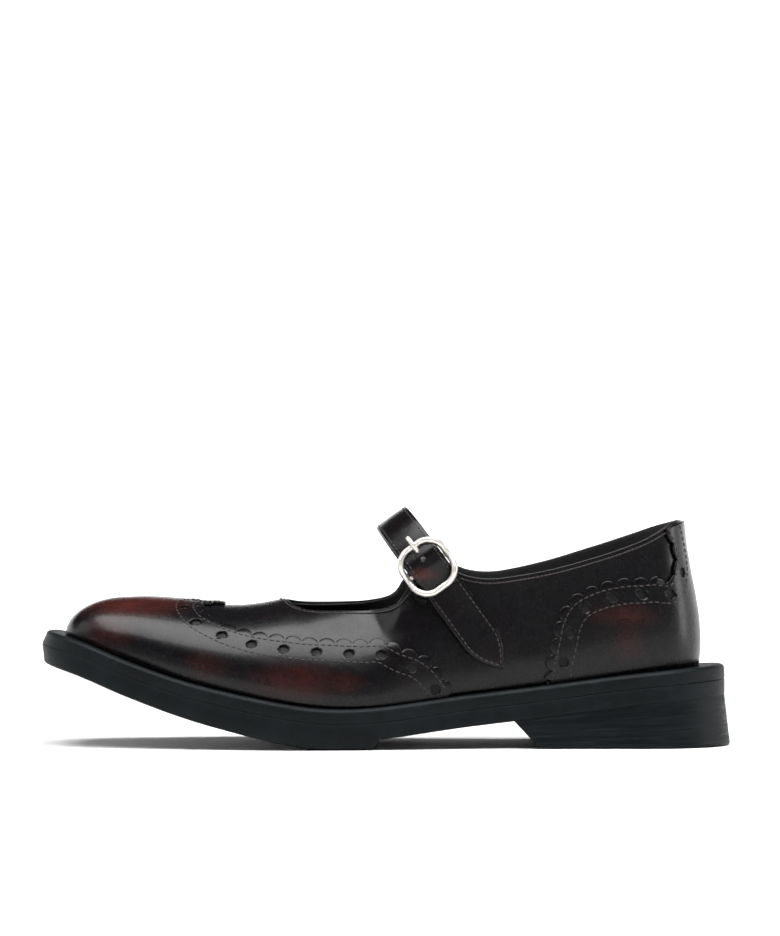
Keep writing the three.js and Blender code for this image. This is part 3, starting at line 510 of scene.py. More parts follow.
def stitches(work, points, normals, length, thread, sink=0.12):
    """Short threads in a row: each is a six-sided bead drawn out along the row, half sunk in the
    leather, with its ends rounded."""
    tangent = unit(np.gradient(points, axis=0))
    side = unit(np.cross(normals, tangent))
    lengthwise = np.array([-0.5, -0.42, -0.2, 0.2, 0.42, 0.5]) * length
    radii = np.array([0.0, 0.7, 1.0, 1.0, 0.7, 0.0]) * thread / 2
    turn = np.linspace(0, 2 * math.pi, 6, endpoint=False)
    arch = (1 - (lengthwise / length * 2) ** 2) * thread * 0.35 - sink
    for k in range(len(points)):
        centre = points[k] + np.outer(lengthwise, tangent[k]) + np.outer(arch, normals[k])
        ring = (centre[:, None] + (np.cos(turn) * radii[:, None])[..., None] * side[k]
                + (np.sin(turn) * radii[:, None])[..., None] * normals[k])
        work.grid(ring, wrap=True)


def even_p(last, count, focus=None):
    """p values that step evenly along the sole's outline, denser round a share of the length when one
    is given. Both sides use the same ones."""
    p = np.linspace(0, 1, 4001)
    x, y = last.edge(-1.0, p)
    weights = np.ones_like(p)
    if focus is not None:
        centre, spread, gain = focus
        weights += gain * np.exp(-((last.share(x) - centre) / spread) ** 2)
    path = np.stack([x, y, np.zeros_like(x), p], axis=1)
    values = resample(path, count, weights)[:, 3]
    values[0], values[-1] = 0.0, 1.0
    return values


def outline_loop(last, inset, height, count=180, lean=0.0):
    """A closed row of points at an inset from the outline, with heights worked out from X. Lean moves
    it in further towards the toe's tip."""
    rows = []
    for sign in (-1.0, 1.0):
        p = even_p(last, count)
        if sign > 0:
            p = p[::-1]
        at, _ = last.station(p)
        distance = inset(at) if callable(inset) else inset
        x, y = last.inset_edge(sign, p, distance + lean * last.toe_lean(at))
        points = np.stack([x, y, height(x)], axis=1)
        rows.append(points if sign < 0 else points[1:-1])
    return np.concatenate(rows)


def lid(loop, count, across, height):
    """Closes a loop by rungs from side to side, each of even steps, at heights worked out from X."""
    outer = loop[:count]
    inner = np.concatenate([loop[:1], loop[count:][::-1], loop[count - 1:count]])
    t = np.linspace(0, 1, across)[None, :, None]
    points = outer[:, None] * (1 - t) + inner[:, None] * t
    edge = np.abs(2 * t[..., 0] - 1) >= 1
    points[..., 2] = np.where(edge, points[..., 2], height(points[..., 0]))
    return points


def make_slab(name, loops, count, top, bottom):
    """A closed slab: its loops from the bottom to the top, with a lid at both ends."""
    work = Patchwork()
    work.grid(np.stack(loops), wrap=True)
    work.grid(lid(loops[0], count, 24, bottom))
    work.grid(lid(loops[-1], count, 24, top))
    return work.build(name)


# Depth of the joint line between the welt and the outsole (mm)
JOINT_LINE = 0.22


def make_outsole(last, sizes):
    """The outsole: loops round the outline with rounded lower edges, and below it the tread, which
    swells under the forefoot and steps back up where it ends behind the ball."""
    count = 220
    tread_end = last.toe + sizes.tread_end * last.length
    step_run = 0.8
    side_inset, tread_round, round_share = 0.15, 2.0, 0.65

    def lowest(x):
        end = np.clip((tread_end - x) / step_run, 0, 1)
        depth = smooth(TREAD, 1, last.share(x)) * last.tread * end
        return np.maximum(last.outsole_bottom(x) - depth, 0)

    def deep(x):
        return last.outsole_bottom(x) - lowest(x)

    loops = []
    for k in range(5):
        turn = k / 4 * math.pi / 2
        inset = side_inset + tread_round * (1 - math.sin(turn))
        share = round_share * (1 - math.cos(turn))
        loops.append(outline_loop(last, inset, lambda x, s=share: lowest(x) + deep(x) * s, count, 0.5))
    loops.append(outline_loop(last, 0.05, lambda x: last.outsole_bottom(x) + 1.2, count, 0.5))
    loops.append(outline_loop(last, 0.0, lambda x: last.welt_bottom(x) - 0.35, count, 0.2))
    loops.append(outline_loop(last, JOINT_LINE, last.welt_bottom, count, 0.2))
    loops.append(outline_loop(last, 4.0, last.welt_bottom, count))
    return make_slab("outsole_leather", loops, count, last.welt_bottom, lowest)


def make_welt(last, sizes):
    """The welt: a ring with a bullnose rim, a bare ledge and a joint line below."""
    count = 220
    rim = sizes.rim_round / MM

    def foot(x):
        return last.welt_bottom(x) + 0.02

    loops = [outline_loop(last, 9.0, foot, count),
             outline_loop(last, JOINT_LINE, foot, count, 0.2),
             outline_loop(last, 0.0, lambda x: last.welt_bottom(x) + 0.4, count, 0.25),
             outline_loop(last, 0.0, lambda x: last.sole_top(x) - rim, count, 1.0)]
    for k in range(1, 9):
        turn = k / 8 * math.pi / 2
        inset = rim * (1 - math.cos(turn))
        drop = rim * (1 - math.sin(turn))
        loops.append(outline_loop(last, inset, lambda x, d=drop: last.sole_top(x) - d, count, 1.0))

    def inner(at):
        return smooth(LEDGE, 1, at) * last.ledge + last.wall + 0.5

    def ledge(share):
        return lambda at: rim + (inner(at) - rim) * share

    for share in (0.55, 0.8, 1.0):
        loops.append(outline_loop(last, ledge(share), last.sole_top, count))
    loops.append(outline_loop(last, inner, foot, count))
    work = Patchwork()
    work.grid(np.stack(loops + loops[:1]), wrap=True)
    return work.build("welt_leather")


def make_insole(last, sizes):
    """The insole: a thin pad inside the welt and the upper, with soft edges."""
    count = 160
    rise = sizes.insole_rise / MM
    clearance = 0.8

    def inset(extra):
        return lambda at: smooth(LEDGE, 1, at) * last.ledge + last.wall + clearance + extra

    def bottom(x):
        return last.welt_bottom(x) + last.gap

    def risen(share):
        return lambda x: last.sole_top(x) + rise * share

    loops = [outline_loop(last, inset(0), bottom, count),
             outline_loop(last, inset(0), risen(0.5), count),
             outline_loop(last, inset(0.3), risen(0.8), count),
             outline_loop(last, inset(1.1), risen(1.0), count)]
    return make_slab("insole_lining", loops, count, risen(1.0), bottom)


def make_heel(last, sizes):
    """The stacked heel: loops flared towards the floor with a rounded foot, cut by the slanted breast
    plane."""
    count = 220
    flare = sizes.heel_flare / MM
    top_x = last.toe + sizes.breast_top * last.length
    slant = sizes.breast_slant / MM
    foot, foot_edge = 1.2, 0.35
    shoulder, upper_inset, seat_inset = 0.4, 0.1, 0.16

    def seat(x):
        return last.outsole_bottom(x) - 0.05

    def level(height):
        return lambda x: np.full_like(x, height)

    loops = [outline_loop(last, foot - flare, level(0.0), count),
             outline_loop(last, foot_edge - flare, level(foot_edge), count),
             outline_loop(last, -flare, level(foot), count)]
    layers = 60
    for k in range(layers + 1):
        share = k / layers
        inset = -flare * (1 - share) + upper_inset * share
        loops.append(outline_loop(last, inset, lambda x, s=share: foot + (seat(x) - shoulder - foot) * s,
                                  count))
    loops.append(outline_loop(last, seat_inset, seat, count))
    obj = make_slab("heel_stack", loops, count, seat, level(0.0))
    work = bmesh.new()
    work.from_mesh(obj.data)
    height = float(seat(np.array(top_x)))
    normal = Vector((-height, 0.0, -slant)).normalized()
    place = Vector((top_x, 0.0, height)) * MM
    cut = bmesh.ops.bisect_plane(work, geom=work.verts[:] + work.edges[:] + work.faces[:],
                                 plane_co=place, plane_no=normal, clear_outer=True, dist=1e-7)
    rim = [item for item in cut["geom_cut"] if isinstance(item, bmesh.types.BMEdge)]
    filled = bmesh.ops.holes_fill(work, edges=rim)
    bmesh.ops.triangulate(work, faces=filled["faces"])
    bmesh.ops.recalc_face_normals(work, faces=work.faces)
    work.to_mesh(obj.data)
    work.free()
    obj.data.polygons.foreach_set("use_smooth", np.ones(len(obj.data.polygons), dtype=bool))
    obj.data.set_sharp_from_angle(angle=math.radians(32))
    return obj


def face_grid(last, sign, p, ups, distance):
    """A grid over one side of the upper's face at a distance from it."""
    p = p[:, None]
    w = last.up_to_w(sign, p, ups[None, :])
    return last.offset(np.full(w.shape, sign), np.broadcast_to(p, w.shape), w, np.full(w.shape, distance))


def opening_edge(last, count=340):
    """The collar and throat line as one closed row: from the heel along the outer side to the throat
    and back along the inner side, with the face's normal and the direction off the edge at each."""
    signs, places = [], []
    start = float(last.p_of(THROAT))
    for sign in (-1.0, 1.0):
        p = even_p(last, 900, (0.362, 0.012, 8))
        p = np.concatenate([[start], p[p > start + 1e-4]])
        w = last.up_to_w(sign, p, np.ones_like(p))
        points = last.section(np.full(p.shape, sign), p, w)
        rows = resample(np.column_stack([points, p]), count)
        p = rows[:, 3]
        p[0], p[-1] = start, 1.0
        if sign < 0:
            p = p[::-1]
        else:
            p = p[1:-1]
        signs.append(np.full(p.shape, sign))
        places.append(p)
    sign = np.concatenate(signs)
    p = np.concatenate(places)
    w = last.up_to_w(sign, p, np.ones_like(p))
    points = last.section(sign, p, w)
    normals = last.normal(sign, p, w)
    tangent = unit(np.roll(points, -1, axis=0) - np.roll(points, 1, axis=0))
    away = unit(np.cross(tangent, normals))
    return points, normals, away


def wall_piece(name, last, outer, inner, bead, fine):
    """A wall between two distances from the upper's face: closed underneath by a strip and along the opening
    by a rounded bead, which takes the piece's second finish; on the upper that is the pale edge of wear and
    painted highlight."""
    work = Patchwork()
    steps_p, steps_up = fine
    ups = 1 - (1 - np.linspace(0, 1, steps_up)) ** 1.15
    start = float(last.p_of(THROAT))
    for sign in (-1.0, 1.0):
        p = even_p(last, steps_p, (0.362, 0.014, 7))
        p[np.argmin(np.abs(p - start))] = start
        flip = sign > 0
        out = face_grid(last, sign, p, ups, outer)
        back = face_grid(last, sign, p, ups, inner)
        work.grid(out, flip=flip)
        work.grid(back, flip=not flip)
        work.grid(np.stack([out[:, 0], back[:, 0]], axis=1), flip=not flip)
        open_p = p[p >= start - 1e-9]
        ones = np.ones_like(open_p)
        w = last.up_to_w(sign, open_p, ones)
        signs = np.full(open_p.shape, sign)
        high = last.offset(signs, open_p, w, ones * outer)
        low = last.offset(signs, open_p, w, ones * inner)
        tangent = np.gradient(high, axis=0)
        tangent[0] = (0.0, sign * 1.0, 0.0)
        tangent[-1] = (0.0, -sign * 1.0, 0.0)
        normals = last.normal(signs, open_p, w)
        away = unit(np.cross(unit(tangent), normals)) * sign
        turn = np.linspace(0, math.pi, bead)
        middle = (high + low) / 2
        half = (high - low) / 2
        thick = np.linalg.norm(half, axis=1, keepdims=True)
        arc = (middle[:, None] + half[:, None] * np.cos(turn)[None, :, None]
               + (away * thick)[:, None] * np.sin(turn)[None, :, None])
        work.grid(arc, flip=flip, slot=1)
    return work.build(name)


class Band:
    """An overlay's edge on one side of the shoe: the cusp line of its scallops from the top to the rim,
    as even steps of p and w. The way off the overlay is square to the line, in the face."""

    def __init__(self, last, sign, rows, turn, pitch, lobes):
        self.last, self.turn = last, turn
        at = np.array([row[0] for row in rows])
        kind = np.array([row[1] for row in rows])
        value = np.array([row[2] for row in rows])
        p, w = last.locate(np.full(len(rows), sign), at, kind, value)
        w[0] = 1.0
        p = np.append(p, p[-1] + (p[-1] - p[-2]) * 0.3)
        w = np.append(w, 0.0)
        signs = np.full(len(p), sign)
        control = np.column_stack([last.section(signs, p, w), p, w])
        line = through(control, 1600)
        p, w = line[:, 3], np.clip(line[:, 4], 0, 1)
        points = last.section(np.full(len(p), sign), p, w)
        length = np.linalg.norm(np.diff(points, axis=0), axis=1).sum()
        scallops = int(round(length / pitch))
        rows = resample(np.column_stack([points, p, w]), scallops * lobes + 1)
        self.sign = np.full(len(rows), sign)
        self.p, self.w = rows[:, 3], rows[:, 4]
        self.p[0], self.w[0], self.w[-1] = line[0, 3], 1.0, 0.0
        self.share = np.linspace(0, 1, len(rows))

    def frame(self, sign, p, w):
        points = self.last.section(sign, p, w)
        normals = self.last.normal(sign, p, w)
        tangent = unit(np.gradient(points, axis=0))
        off = unit(np.cross(tangent, normals)) * self.turn * sign[:, None]
        return points, normals, tangent, off

    def moved(self, distance):
        """The cusp line moved off the overlay, or into it where the distance is negative."""
        p, w = self.p.copy(), self.w.copy()
        _, _, _, off = self.frame(self.sign, p, w)
        distance = np.broadcast_to(np.asarray(distance, dtype=float), p.shape)
        steps = max(int(math.ceil(np.abs(distance).max() / 0.8)), 1)
        for _ in range(steps):
            p, w = self.last.along_surface(self.sign, p, w, off * (distance / steps)[:, None])
            p = np.clip(p, 0, 1)
            normals = self.last.normal(self.sign, p, np.clip(w, 0, 1.2))
            off = unit(off - np.sum(off * normals, axis=1, keepdims=True) * normals)
        return p, w

    def row(self, distance, pitch, phase=0.0, lift=0.0, ends=(0.0, 0.0)):
        """Even places along a line at a distance from the cusps, on the face or lifted off it, left out
        where they would cross the ridge or the rim."""
        p, w = self.moved(distance)
        kept = (w < 0.998) & (w > 0.01)
        p, w, sign = p[kept], w[kept], self.sign[kept]
        points = self.last.section(sign, p, w)
        run = np.concatenate([[0], np.cumsum(np.linalg.norm(np.diff(points, axis=0), axis=1))])
        wanted = np.arange(ends[0] + phase, run[-1] - ends[1], pitch)
        p = np.interp(wanted, run, p)
        w = np.interp(wanted, run, w)
        sign = np.full(len(p), self.sign[0])
        _, normals, tangent, off = self.frame(sign, p, w)
        points = self.last.offset(sign, p, w, np.full(len(p), lift))
        return points, normals, tangent, off

    def edge(self, rise, lobes, amount):
        """The scalloped edge: lobes that stand off the cusp line by the rise times the sine's root."""
        phase = (np.arange(len(self.p)) % lobes) / lobes
        lobe = np.sin(np.pi * phase) ** 0.45 * rise * amount
        return self.moved(lobe)


def overlay_piece(name, last, bands, far, inner, outer, rise, lobes, amount, rows_in):
    """A leather overlay: from its scalloped edge over the cusp line to a far line, by straight steps in p
    and w, with a bevelled raw edge and a flat back."""
    work = Patchwork()
    for band in bands:
        flip = (band.sign[0] > 0) != (band.turn < 0)
        edge_p, edge_w = band.edge(rise, lobes, amount(band.share))
        edge_w = np.clip(edge_w, 0, 1)
        edge_p[0], edge_w[0] = band.p[0], 1.0
        edge_w[-1] = 0.0
        keys = np.array(far(band))
        far_p = np.interp(band.share, keys[:, 0], keys[:, 1])
        far_w = np.interp(band.share, keys[:, 0], keys[:, 2])
        corner = int(np.argmin(np.abs(band.share - keys[-2, 0])))
        far_p[corner], far_w[corner] = keys[-2, 1], 0.0
        t = np.concatenate([[0.0], np.linspace(0, 1, rows_in) ** 1.35])
        line_p = band.p[:, None] * (1 - t) + far_p[:, None] * t
        line_w = band.w[:, None] * (1 - t) + far_w[:, None] * t
        near_p = edge_p * 0.88 + band.p * 0.12
        near_w = edge_w * 0.88 + band.w * 0.12
        line_p[:, 0], line_w[:, 0] = near_p, near_w
        grid_p = np.column_stack([edge_p, line_p])
        grid_w = np.clip(np.column_stack([edge_w, line_w]), 0, 1)
        sign = np.broadcast_to(band.sign[:, None], grid_p.shape)
        lift = np.full(grid_p.shape, outer)
        lift[:-1, 0] = outer - 0.14
        top = last.offset(sign, grid_p, grid_w, lift)
        back = last.offset(sign, grid_p, grid_w, np.full(grid_p.shape, inner))
        work.grid(top, flip=flip)
        work.grid(back, flip=not flip)
        work.grid(np.stack([back[:, 0], top[:, 0]], axis=1), flip=flip, slot=1)
        foot_top = last.offset(band.sign, far_p, far_w, np.full(len(far_p), outer))
        foot_back = last.offset(band.sign, far_p, far_w, np.full(len(far_p), inner))
        on_foot = far_w <= 1e-9
        if on_foot.any():
            work.grid(np.stack([foot_top[on_foot], foot_back[on_foot]], axis=1), flip=flip)
        if band.turn < 0:
            high = last.offset(sign[0], grid_p[0], grid_w[0], lift[0])
            low = last.offset(sign[0], grid_p[0], grid_w[0], np.full(len(grid_p[0]), inner))
            work.grid(np.stack([high, low], axis=1), flip=not flip, slot=1)
    return work.build(name)


def punches(name, rows, radius, sides, low, high):
    """Round punches: closed cylinders square to the face, one at each place."""
    work = Patchwork()
    turn = np.linspace(0, 2 * math.pi, sides, endpoint=False)
    for points, normals, tangents, across in rows:
        for k in range(len(points)):
            circle = (np.cos(turn)[:, None] * tangents[k] + np.sin(turn)[:, None] * across[k]) * radius
            levels = [points[k] + normals[k] * low, points[k] + circle + normals[k] * low,
                      points[k] + circle + normals[k] * high, points[k] + normals[k] * high]
            grid = np.stack([np.broadcast_to(level, (sides, 3)) for level in levels])
            work.grid(grid, wrap=True, slot=1)
    return work.build(name)


def painted_punch_shade(rows, radius, lift):
    """A dull dark disc at the floor of each large punch: painted shade standing in for the shadow inside the
    hole.
    """
    work = Patchwork()
    turn = np.linspace(0, 2 * math.pi, 14, endpoint=False)
    for points, normals, tangents, across in rows:
        ring = (np.cos(turn)[None, :, None] * tangents[:, None]
                + np.sin(turn)[None, :, None] * across[:, None])
        centre = points + normals * lift
        for k in range(len(points)):
            rim = centre[k] + ring[k] * radius
            work.grid(np.stack([np.broadcast_to(centre[k], rim.shape), rim]), wrap=True)
    return work


def cut_with(obj, cutters):
    """Cuts punches out of a piece and keeps the result as its mesh."""
    for cutter in cutters:
        modifier = obj.modifiers.new("Punch", "BOOLEAN")
        modifier.operation = "DIFFERENCE"
        modifier.solver = "MANIFOLD"
        modifier.object = cutter
    graph = bpy.context.evaluated_depsgraph_get()
    mesh = bpy.data.meshes.new_from_object(obj.evaluated_get(graph))
    if len(mesh.polygons) < len(obj.data.polygons) // 2:
        raise RuntimeError("The punches could not be cut out of " + obj.name)
    obj.modifiers.clear()
    old = obj.data
    obj.data = mesh
    mesh.name = old.name
    bpy.data.meshes.remove(old)
    for cutter in cutters:
        bpy.data.objects.remove(cutter)


class StrapPath:
    """The strap's course: q runs up its length in side view and across over its width, from the middle
    of the buckle. It lies on the outer side, arches over the instep and laps onto the inner ear."""

    def __init__(self, last, sizes):
        tilt = sizes.strap_tilt
        self.last = last
        self.up = np.array([-math.sin(tilt), 0.0, math.cos(tilt)])
        self.wide = np.array([math.cos(tilt), 0.0, math.sin(tilt)])
        self.middle = np.array([sizes.buckle_x, 0.0, sizes.buckle_z]) / MM
        self.width = sizes.strap_width / MM
        self.thick = sizes.strap_thickness / MM
        self.top = sizes.strap_top / MM
        self.tail = sizes.strap_tail / MM
        self.lap = sizes.strap_lap / MM
        self.span = sizes.strap_span / MM
        self.bump = sizes.strap_bump / MM
        self.foot = 2.0
        self.power = 2.2
        self.clearance = 0.25
        self.crown = 0.28
        self.bump_below = 9.6
        self.bump_top = 2.5
        self.bump_above = 8.0
        self.point = 15.0
        self.point_half = 0.3
        self.rows_q = np.linspace(-self.tail - 4, self.foot + 2, 40)
        self.rows_across = np.linspace(-14.0, 14.0, 15)
        self.walls = {sign: self.wall_table(sign) for sign in (-1.0, 1.0)}

    def place(self, q, across):
        return self.middle + q[..., None] * self.up + across[..., None] * self.wide

    def wall_table(self, sign):
        """Half widths of the upper under the strap, on a coarse grid of q and across."""
        q, across = np.meshgrid(self.rows_q, self.rows_across, indexing="ij")
        place = self.place(q, across)
        at = self.last.share(place[..., 0])
        signs = np.full(q.shape, sign)
        kind = np.full(q.shape, "height")
        p, w = self.last.locate(signs, at, kind, place[..., 2] / self.last.collar)
        return np.abs(self.last.section(signs, p, w)[..., 1])

    def wall(self, sign, q, across):
        """The half width between the rows of the table, by shares in both directions."""
        table = self.walls[sign]
        i = np.clip((q - self.rows_q[0]) / (self.rows_q[1] - self.rows_q[0]), 0, len(self.rows_q) - 1.001)
        step = self.rows_across[1] - self.rows_across[0]
        j = np.clip((across - self.rows_across[0]) / step, 0, len(self.rows_across) - 1.001)
        k, m = i.astype(int), j.astype(int)
        a, b = i - k, j - m
        return ((table[k, m] * (1 - a) + table[k + 1, m] * a) * (1 - b)
                + (table[k, m + 1] * (1 - a) + table[k + 1, m + 1] * a) * b)

    def spread(self, sign, q, across):
        """Distance of the strap's inner face from the shoe's middle: a flattened arch above its foot,
        and below it the greater of the arch's and the upper's own, softly joined."""
        q, across = np.broadcast_arrays(q, across)
        rise = self.top - self.thick - self.foot
        share = np.clip((q - self.foot) / rise, 0, 1)
        arch = self.span / 2 * (1 - share ** self.power) ** (1 / self.power)
        low = q <= self.foot
        wall = self.wall(sign, q, across) + self.clearance
        joined = (arch + wall + np.sqrt((arch - wall) ** 2 + 0.5)) / 2
        fade = np.clip((self.foot - q) / 4, 0, 1)
        fade = fade * fade * (3 - 2 * fade)
        return np.where(low, arch * (1 - fade) + np.maximum(joined, arch) * fade, arch)

    def stand_off(self, sign, q):
        """How far the strap is lifted where it passes over the buckle's bar and the prong."""
        if sign > 0:
            return np.zeros_like(q)
        below = np.cos(np.clip(-q / self.bump_below, 0, 1) * math.pi / 2) ** 2
        above = np.cos(np.clip((q - self.bump_top) / self.bump_above, 0, 1) * math.pi / 2) ** 2
        return self.bump * np.where(q < 0, below, above)

    def half(self, sign, q):
        """Half the width: full, then drawn in along the tail to its point."""
        if sign > 0:
            return np.full_like(q, self.width / 2)
        share = np.clip((self.point - self.tail - q) / self.point, 0, 1)
        return self.point_half + (self.width / 2 - self.point_half) * (1 - share ** 1.8)

    def centre(self):
        """The centre line from the tail's tip over the instep to the lap, with the direction out of it."""
        rise = self.top - self.thick - self.foot
        turn = np.linspace(0, math.pi / 2, 46)
        arch = self.foot + rise * np.sin(turn)
        up = np.concatenate([np.linspace(-self.tail, self.foot, 120), arch[1:]])
        down = np.concatenate([arch[::-1][1:], np.linspace(self.foot, -self.lap, 30)[1:]])
        sign = np.concatenate([np.full(len(up), -1.0), np.full(len(down), 1.0)])
        q = np.concatenate([up, down])
        y = np.concatenate([-self.spread(-1.0, up, 0.0), self.spread(1.0, down, 0.0)])
        dq, dy = np.gradient(q), np.gradient(y)
        size = np.hypot(dq, dy)
        normal = (dy / size)[:, None] * self.up + (-dq / size)[:, None] * np.array([0.0, 1.0, 0.0])
        stand = np.where(sign < 0, self.stand_off(-1.0, q), 0.0)
        half = np.where(sign < 0, self.half(-1.0, q), self.width / 2)
        return sign, q, unit(normal), stand, half

    def over(self, q, across, lift):
        """Places over the strap at the buckle: along it, across it and out from its inner face."""
        q, across, lift = np.broadcast_arrays(np.asarray(q, float), across, lift)
        held = np.clip(across, -self.width / 2, self.width / 2)
        points = self.place(q, across)
        points[..., 1] = -self.spread(-1.0, q, held)
        step = 0.3
        slope = (self.spread(-1.0, q + step, held * 0) - self.spread(-1.0, q - step, held * 0)) / (2 * step)
        normal = unit(-slope[..., None] * self.up + np.array([0.0, -1.0, 0.0]))
        return points + normal * lift[..., None], normal


def make_strap(path):
    """The strap: a section with rounded edges and a slightly crowned face, carried along its course."""
    sign, q, normal, stand, half = path.centre()
    thick = path.thick
    edge = 0.75
    turn = np.linspace(0, math.pi / 2, 5)
    flat = np.linspace(-1, 1, 13)
    inner = [(s, 0.0, 0.0, 0.0) for s in np.linspace(-1, 1, 7)]
    right = [(1.0, -edge + edge * math.sin(t), edge - edge * math.cos(t), 1) for t in turn]
    right += [(1.0, -edge + edge * math.cos(t), thick - edge + edge * math.sin(t), 1) for t in turn]
    top = [(s, 0.0, thick, 0) for s in flat[::-1]]
    left = [(-1.0, edge - edge * math.cos(t), thick - edge + edge * math.sin(t), 1) for t in turn[::-1]]
    left += [(-1.0, edge - edge * math.sin(t), edge - edge * math.cos(t), 1) for t in turn[::-1]]
    profile = inner + right + top + left
    side = np.array([row[0] for row in profile])
    inset = np.array([row[1] for row in profile])
    high = np.array([row[2] for row in profile])
    plain = np.array([row[3] == 0 for row in profile])
    narrow = half[:, None] - edge
    across = np.where(plain[None, :], side[None, :] * np.maximum(narrow, 0.02),
                      side[None, :] * np.maximum(half[:, None], edge) + inset[None, :])
    across = np.where(half[:, None] < 1.0, np.clip(across, -half[:, None], half[:, None]), across)
    crown = (1 - (across / np.maximum(half[:, None], 0.1)) ** 2) * path.crown * (high[None, :] > thick * 0.8)
    grid_q = np.broadcast_to(q[:, None], across.shape)
    points = path.place(grid_q, across)
    outer = sign < 0
    y = np.empty(across.shape)
    y[outer] = -path.spread(-1.0, grid_q[outer], across[outer])
    y[~outer] = path.spread(1.0, grid_q[~outer], across[~outer])
    points[..., 1] = y
    points += normal[:, None] * (high[None, :] + stand[:, None] + crown)[..., None]
    work = Patchwork()
    ring = np.concatenate([points, points[:, :1]], axis=1)
    face = len(inner) + len(right)
    marks = (0, len(inner) - 1, face, face + len(flat) - 1, ring.shape[1] - 1)
    for k, slot in enumerate((0, 1, 0, 1)):
        work.grid(ring[:, marks[k]:marks[k + 1] + 1], slot=slot)
    for k in (0, -1):
        middle = points[k].mean(axis=0)
        work.grid(np.stack([points[k], np.broadcast_to(middle, points[k].shape)]), wrap=True)
    return work.build("strap_leather")


def strap_rows(path, inset, pitch):
    """Even places along both edges of the strap's outer face, an inset in from the edge."""
    sign, q, normal, stand, half = path.centre()
    rows = []
    for way in (-1.0, 1.0):
        kept = half > inset + 0.9
        q1, s1, n1, h1, st1 = q[kept], sign[kept], normal[kept], half[kept], stand[kept]
        across = way * (h1 - inset)
        points = path.place(q1, across)
        y = np.where(s1 < 0, -path.spread(-1.0, q1, across), path.spread(1.0, q1, across))
        points[:, 1] = y
        crown = (1 - (across / h1) ** 2) * path.crown
        points = points + n1 * (path.thick + st1 + crown)[:, None]
        columns = np.column_stack([points, n1])
        length = np.linalg.norm(np.diff(points, axis=0), axis=1).sum()
        even = resample(columns, int(length / pitch))
        rows.append((even[:, :3], unit(even[:, 3:])))
    return rows


def smooth_face(q, across, out):
    """Distances out, made even: the nearest quartic in q and quadratic in across, by least squares."""
    columns = [np.ones_like(q), q, q ** 2, q ** 4 / 100, across, across ** 2, q * across]
    terms = np.stack(columns, axis=1)
    return terms @ np.linalg.lstsq(terms, out, rcond=None)[0]


def make_buckle(path, sizes):
    """The buckle's frame: a round wire along a rectangle with round corners, low at the bar and high at
    both ends, and its straight centre bar."""
    wire = sizes.buckle_wire / MM
    corner = 7.2
    shift = 0.35
    over_strap, under_bar = 0.5, 0.6
    half_long = (sizes.buckle_length / MM - wire) / 2
    half_wide = (sizes.buckle_breadth / MM - wire) / 2
    turn = np.linspace(0, math.pi / 2, 16)
    pieces = []
    for along, wide, start in ((1, 1, 0), (1, -1, 1), (-1, -1, 2), (-1, 1, 3)):
        angle = start * math.pi / 2 + turn
        pieces.append(np.stack([along * (half_long - corner) + corner * np.sin(angle),
                                wide * (half_wide - corner) + corner * np.cos(angle)], axis=1))
    route = np.concatenate(pieces)
    closed = np.concatenate([route, route[:1]])
    dense = resample(np.column_stack([closed, np.zeros(len(closed))]), 145)[:-1]
    q, across = dense[:, 0], dense[:, 1] - shift
    end_lift = path.thick + over_strap + wire / 2
    bar_lift = sizes.bar_diameter / MM / 2 + under_bar
    share = np.clip(np.abs(q) / (half_long - corner + wire), 0, 1)
    lift = bar_lift + (end_lift - bar_lift) * share * share * (3 - 2 * share)
    points = path.place(q, across)
    points[:, 1] = smooth_face(q, across, path.over(q, across, lift)[0][:, 1])
    work = Patchwork()
    tube(work, points, wire / 2, 18, closed=True)
    across = np.linspace(-half_wide + 0.4, half_wide - 0.4, 9)
    bar, _ = path.over(np.zeros_like(across), across, np.full_like(across, bar_lift))
    tube(work, bar, sizes.bar_diameter / MM / 2, 14, level=(0.0, 0.3, 1.0))
    return work.build("buckle_frame_metal", weld=0.001), bar_lift, end_lift


def make_prong(path, sizes, bar_lift, end_lift):
    """The prong: a wire that loops round the bar, runs up under the strap, comes out of its hole and
    rests on the frame's upper end."""
    radius = sizes.prong_diameter / MM / 2
    wire = sizes.buckle_wire / MM
    reach = sizes.bar_diameter / MM / 2 + radius * 0.75
    turn = np.linspace(math.radians(250), math.radians(-20), 14)
    loop_q = reach * np.cos(turn)
    loop_lift = bar_lift + reach * np.sin(turn)
    end_q = sizes.buckle_length / MM / 2 - wire / 2
    rest = end_lift + wire / 2 + radius
    climb = rest - bar_lift
    along = np.array([0.32, 0.46, 0.59, 0.69, 0.78, 0.87, 0.94, 1.02, 1.1])
    share = np.array([0.0, 0.07, 0.3, 0.62, 0.88, 0.97, 1.0, 0.98, 0.9])
    q = np.concatenate([loop_q, along * end_q])
    lift = np.concatenate([loop_lift, bar_lift + share * climb])
    rows = through(np.column_stack([q, lift, np.zeros(len(q))]), 90)
    points, _ = path.over(rows[:, 0], np.zeros(len(rows)), rows[:, 1])
    grow = np.interp(np.linspace(0, 1, 90), [0, 0.35, 0.85, 1.0], [0.8, 1.0, 1.15, 1.05])
    work = Patchwork()
    tube(work, points, radius * grow, 14, level=tuple(path.wide))
    return work.build("prong_metal", weld=0.001)


def rgba(colour, factor=1.0):
    """A colour made darker or paler by a factor, with its alpha."""
    return (*(value * factor for value in colour), 1.0)


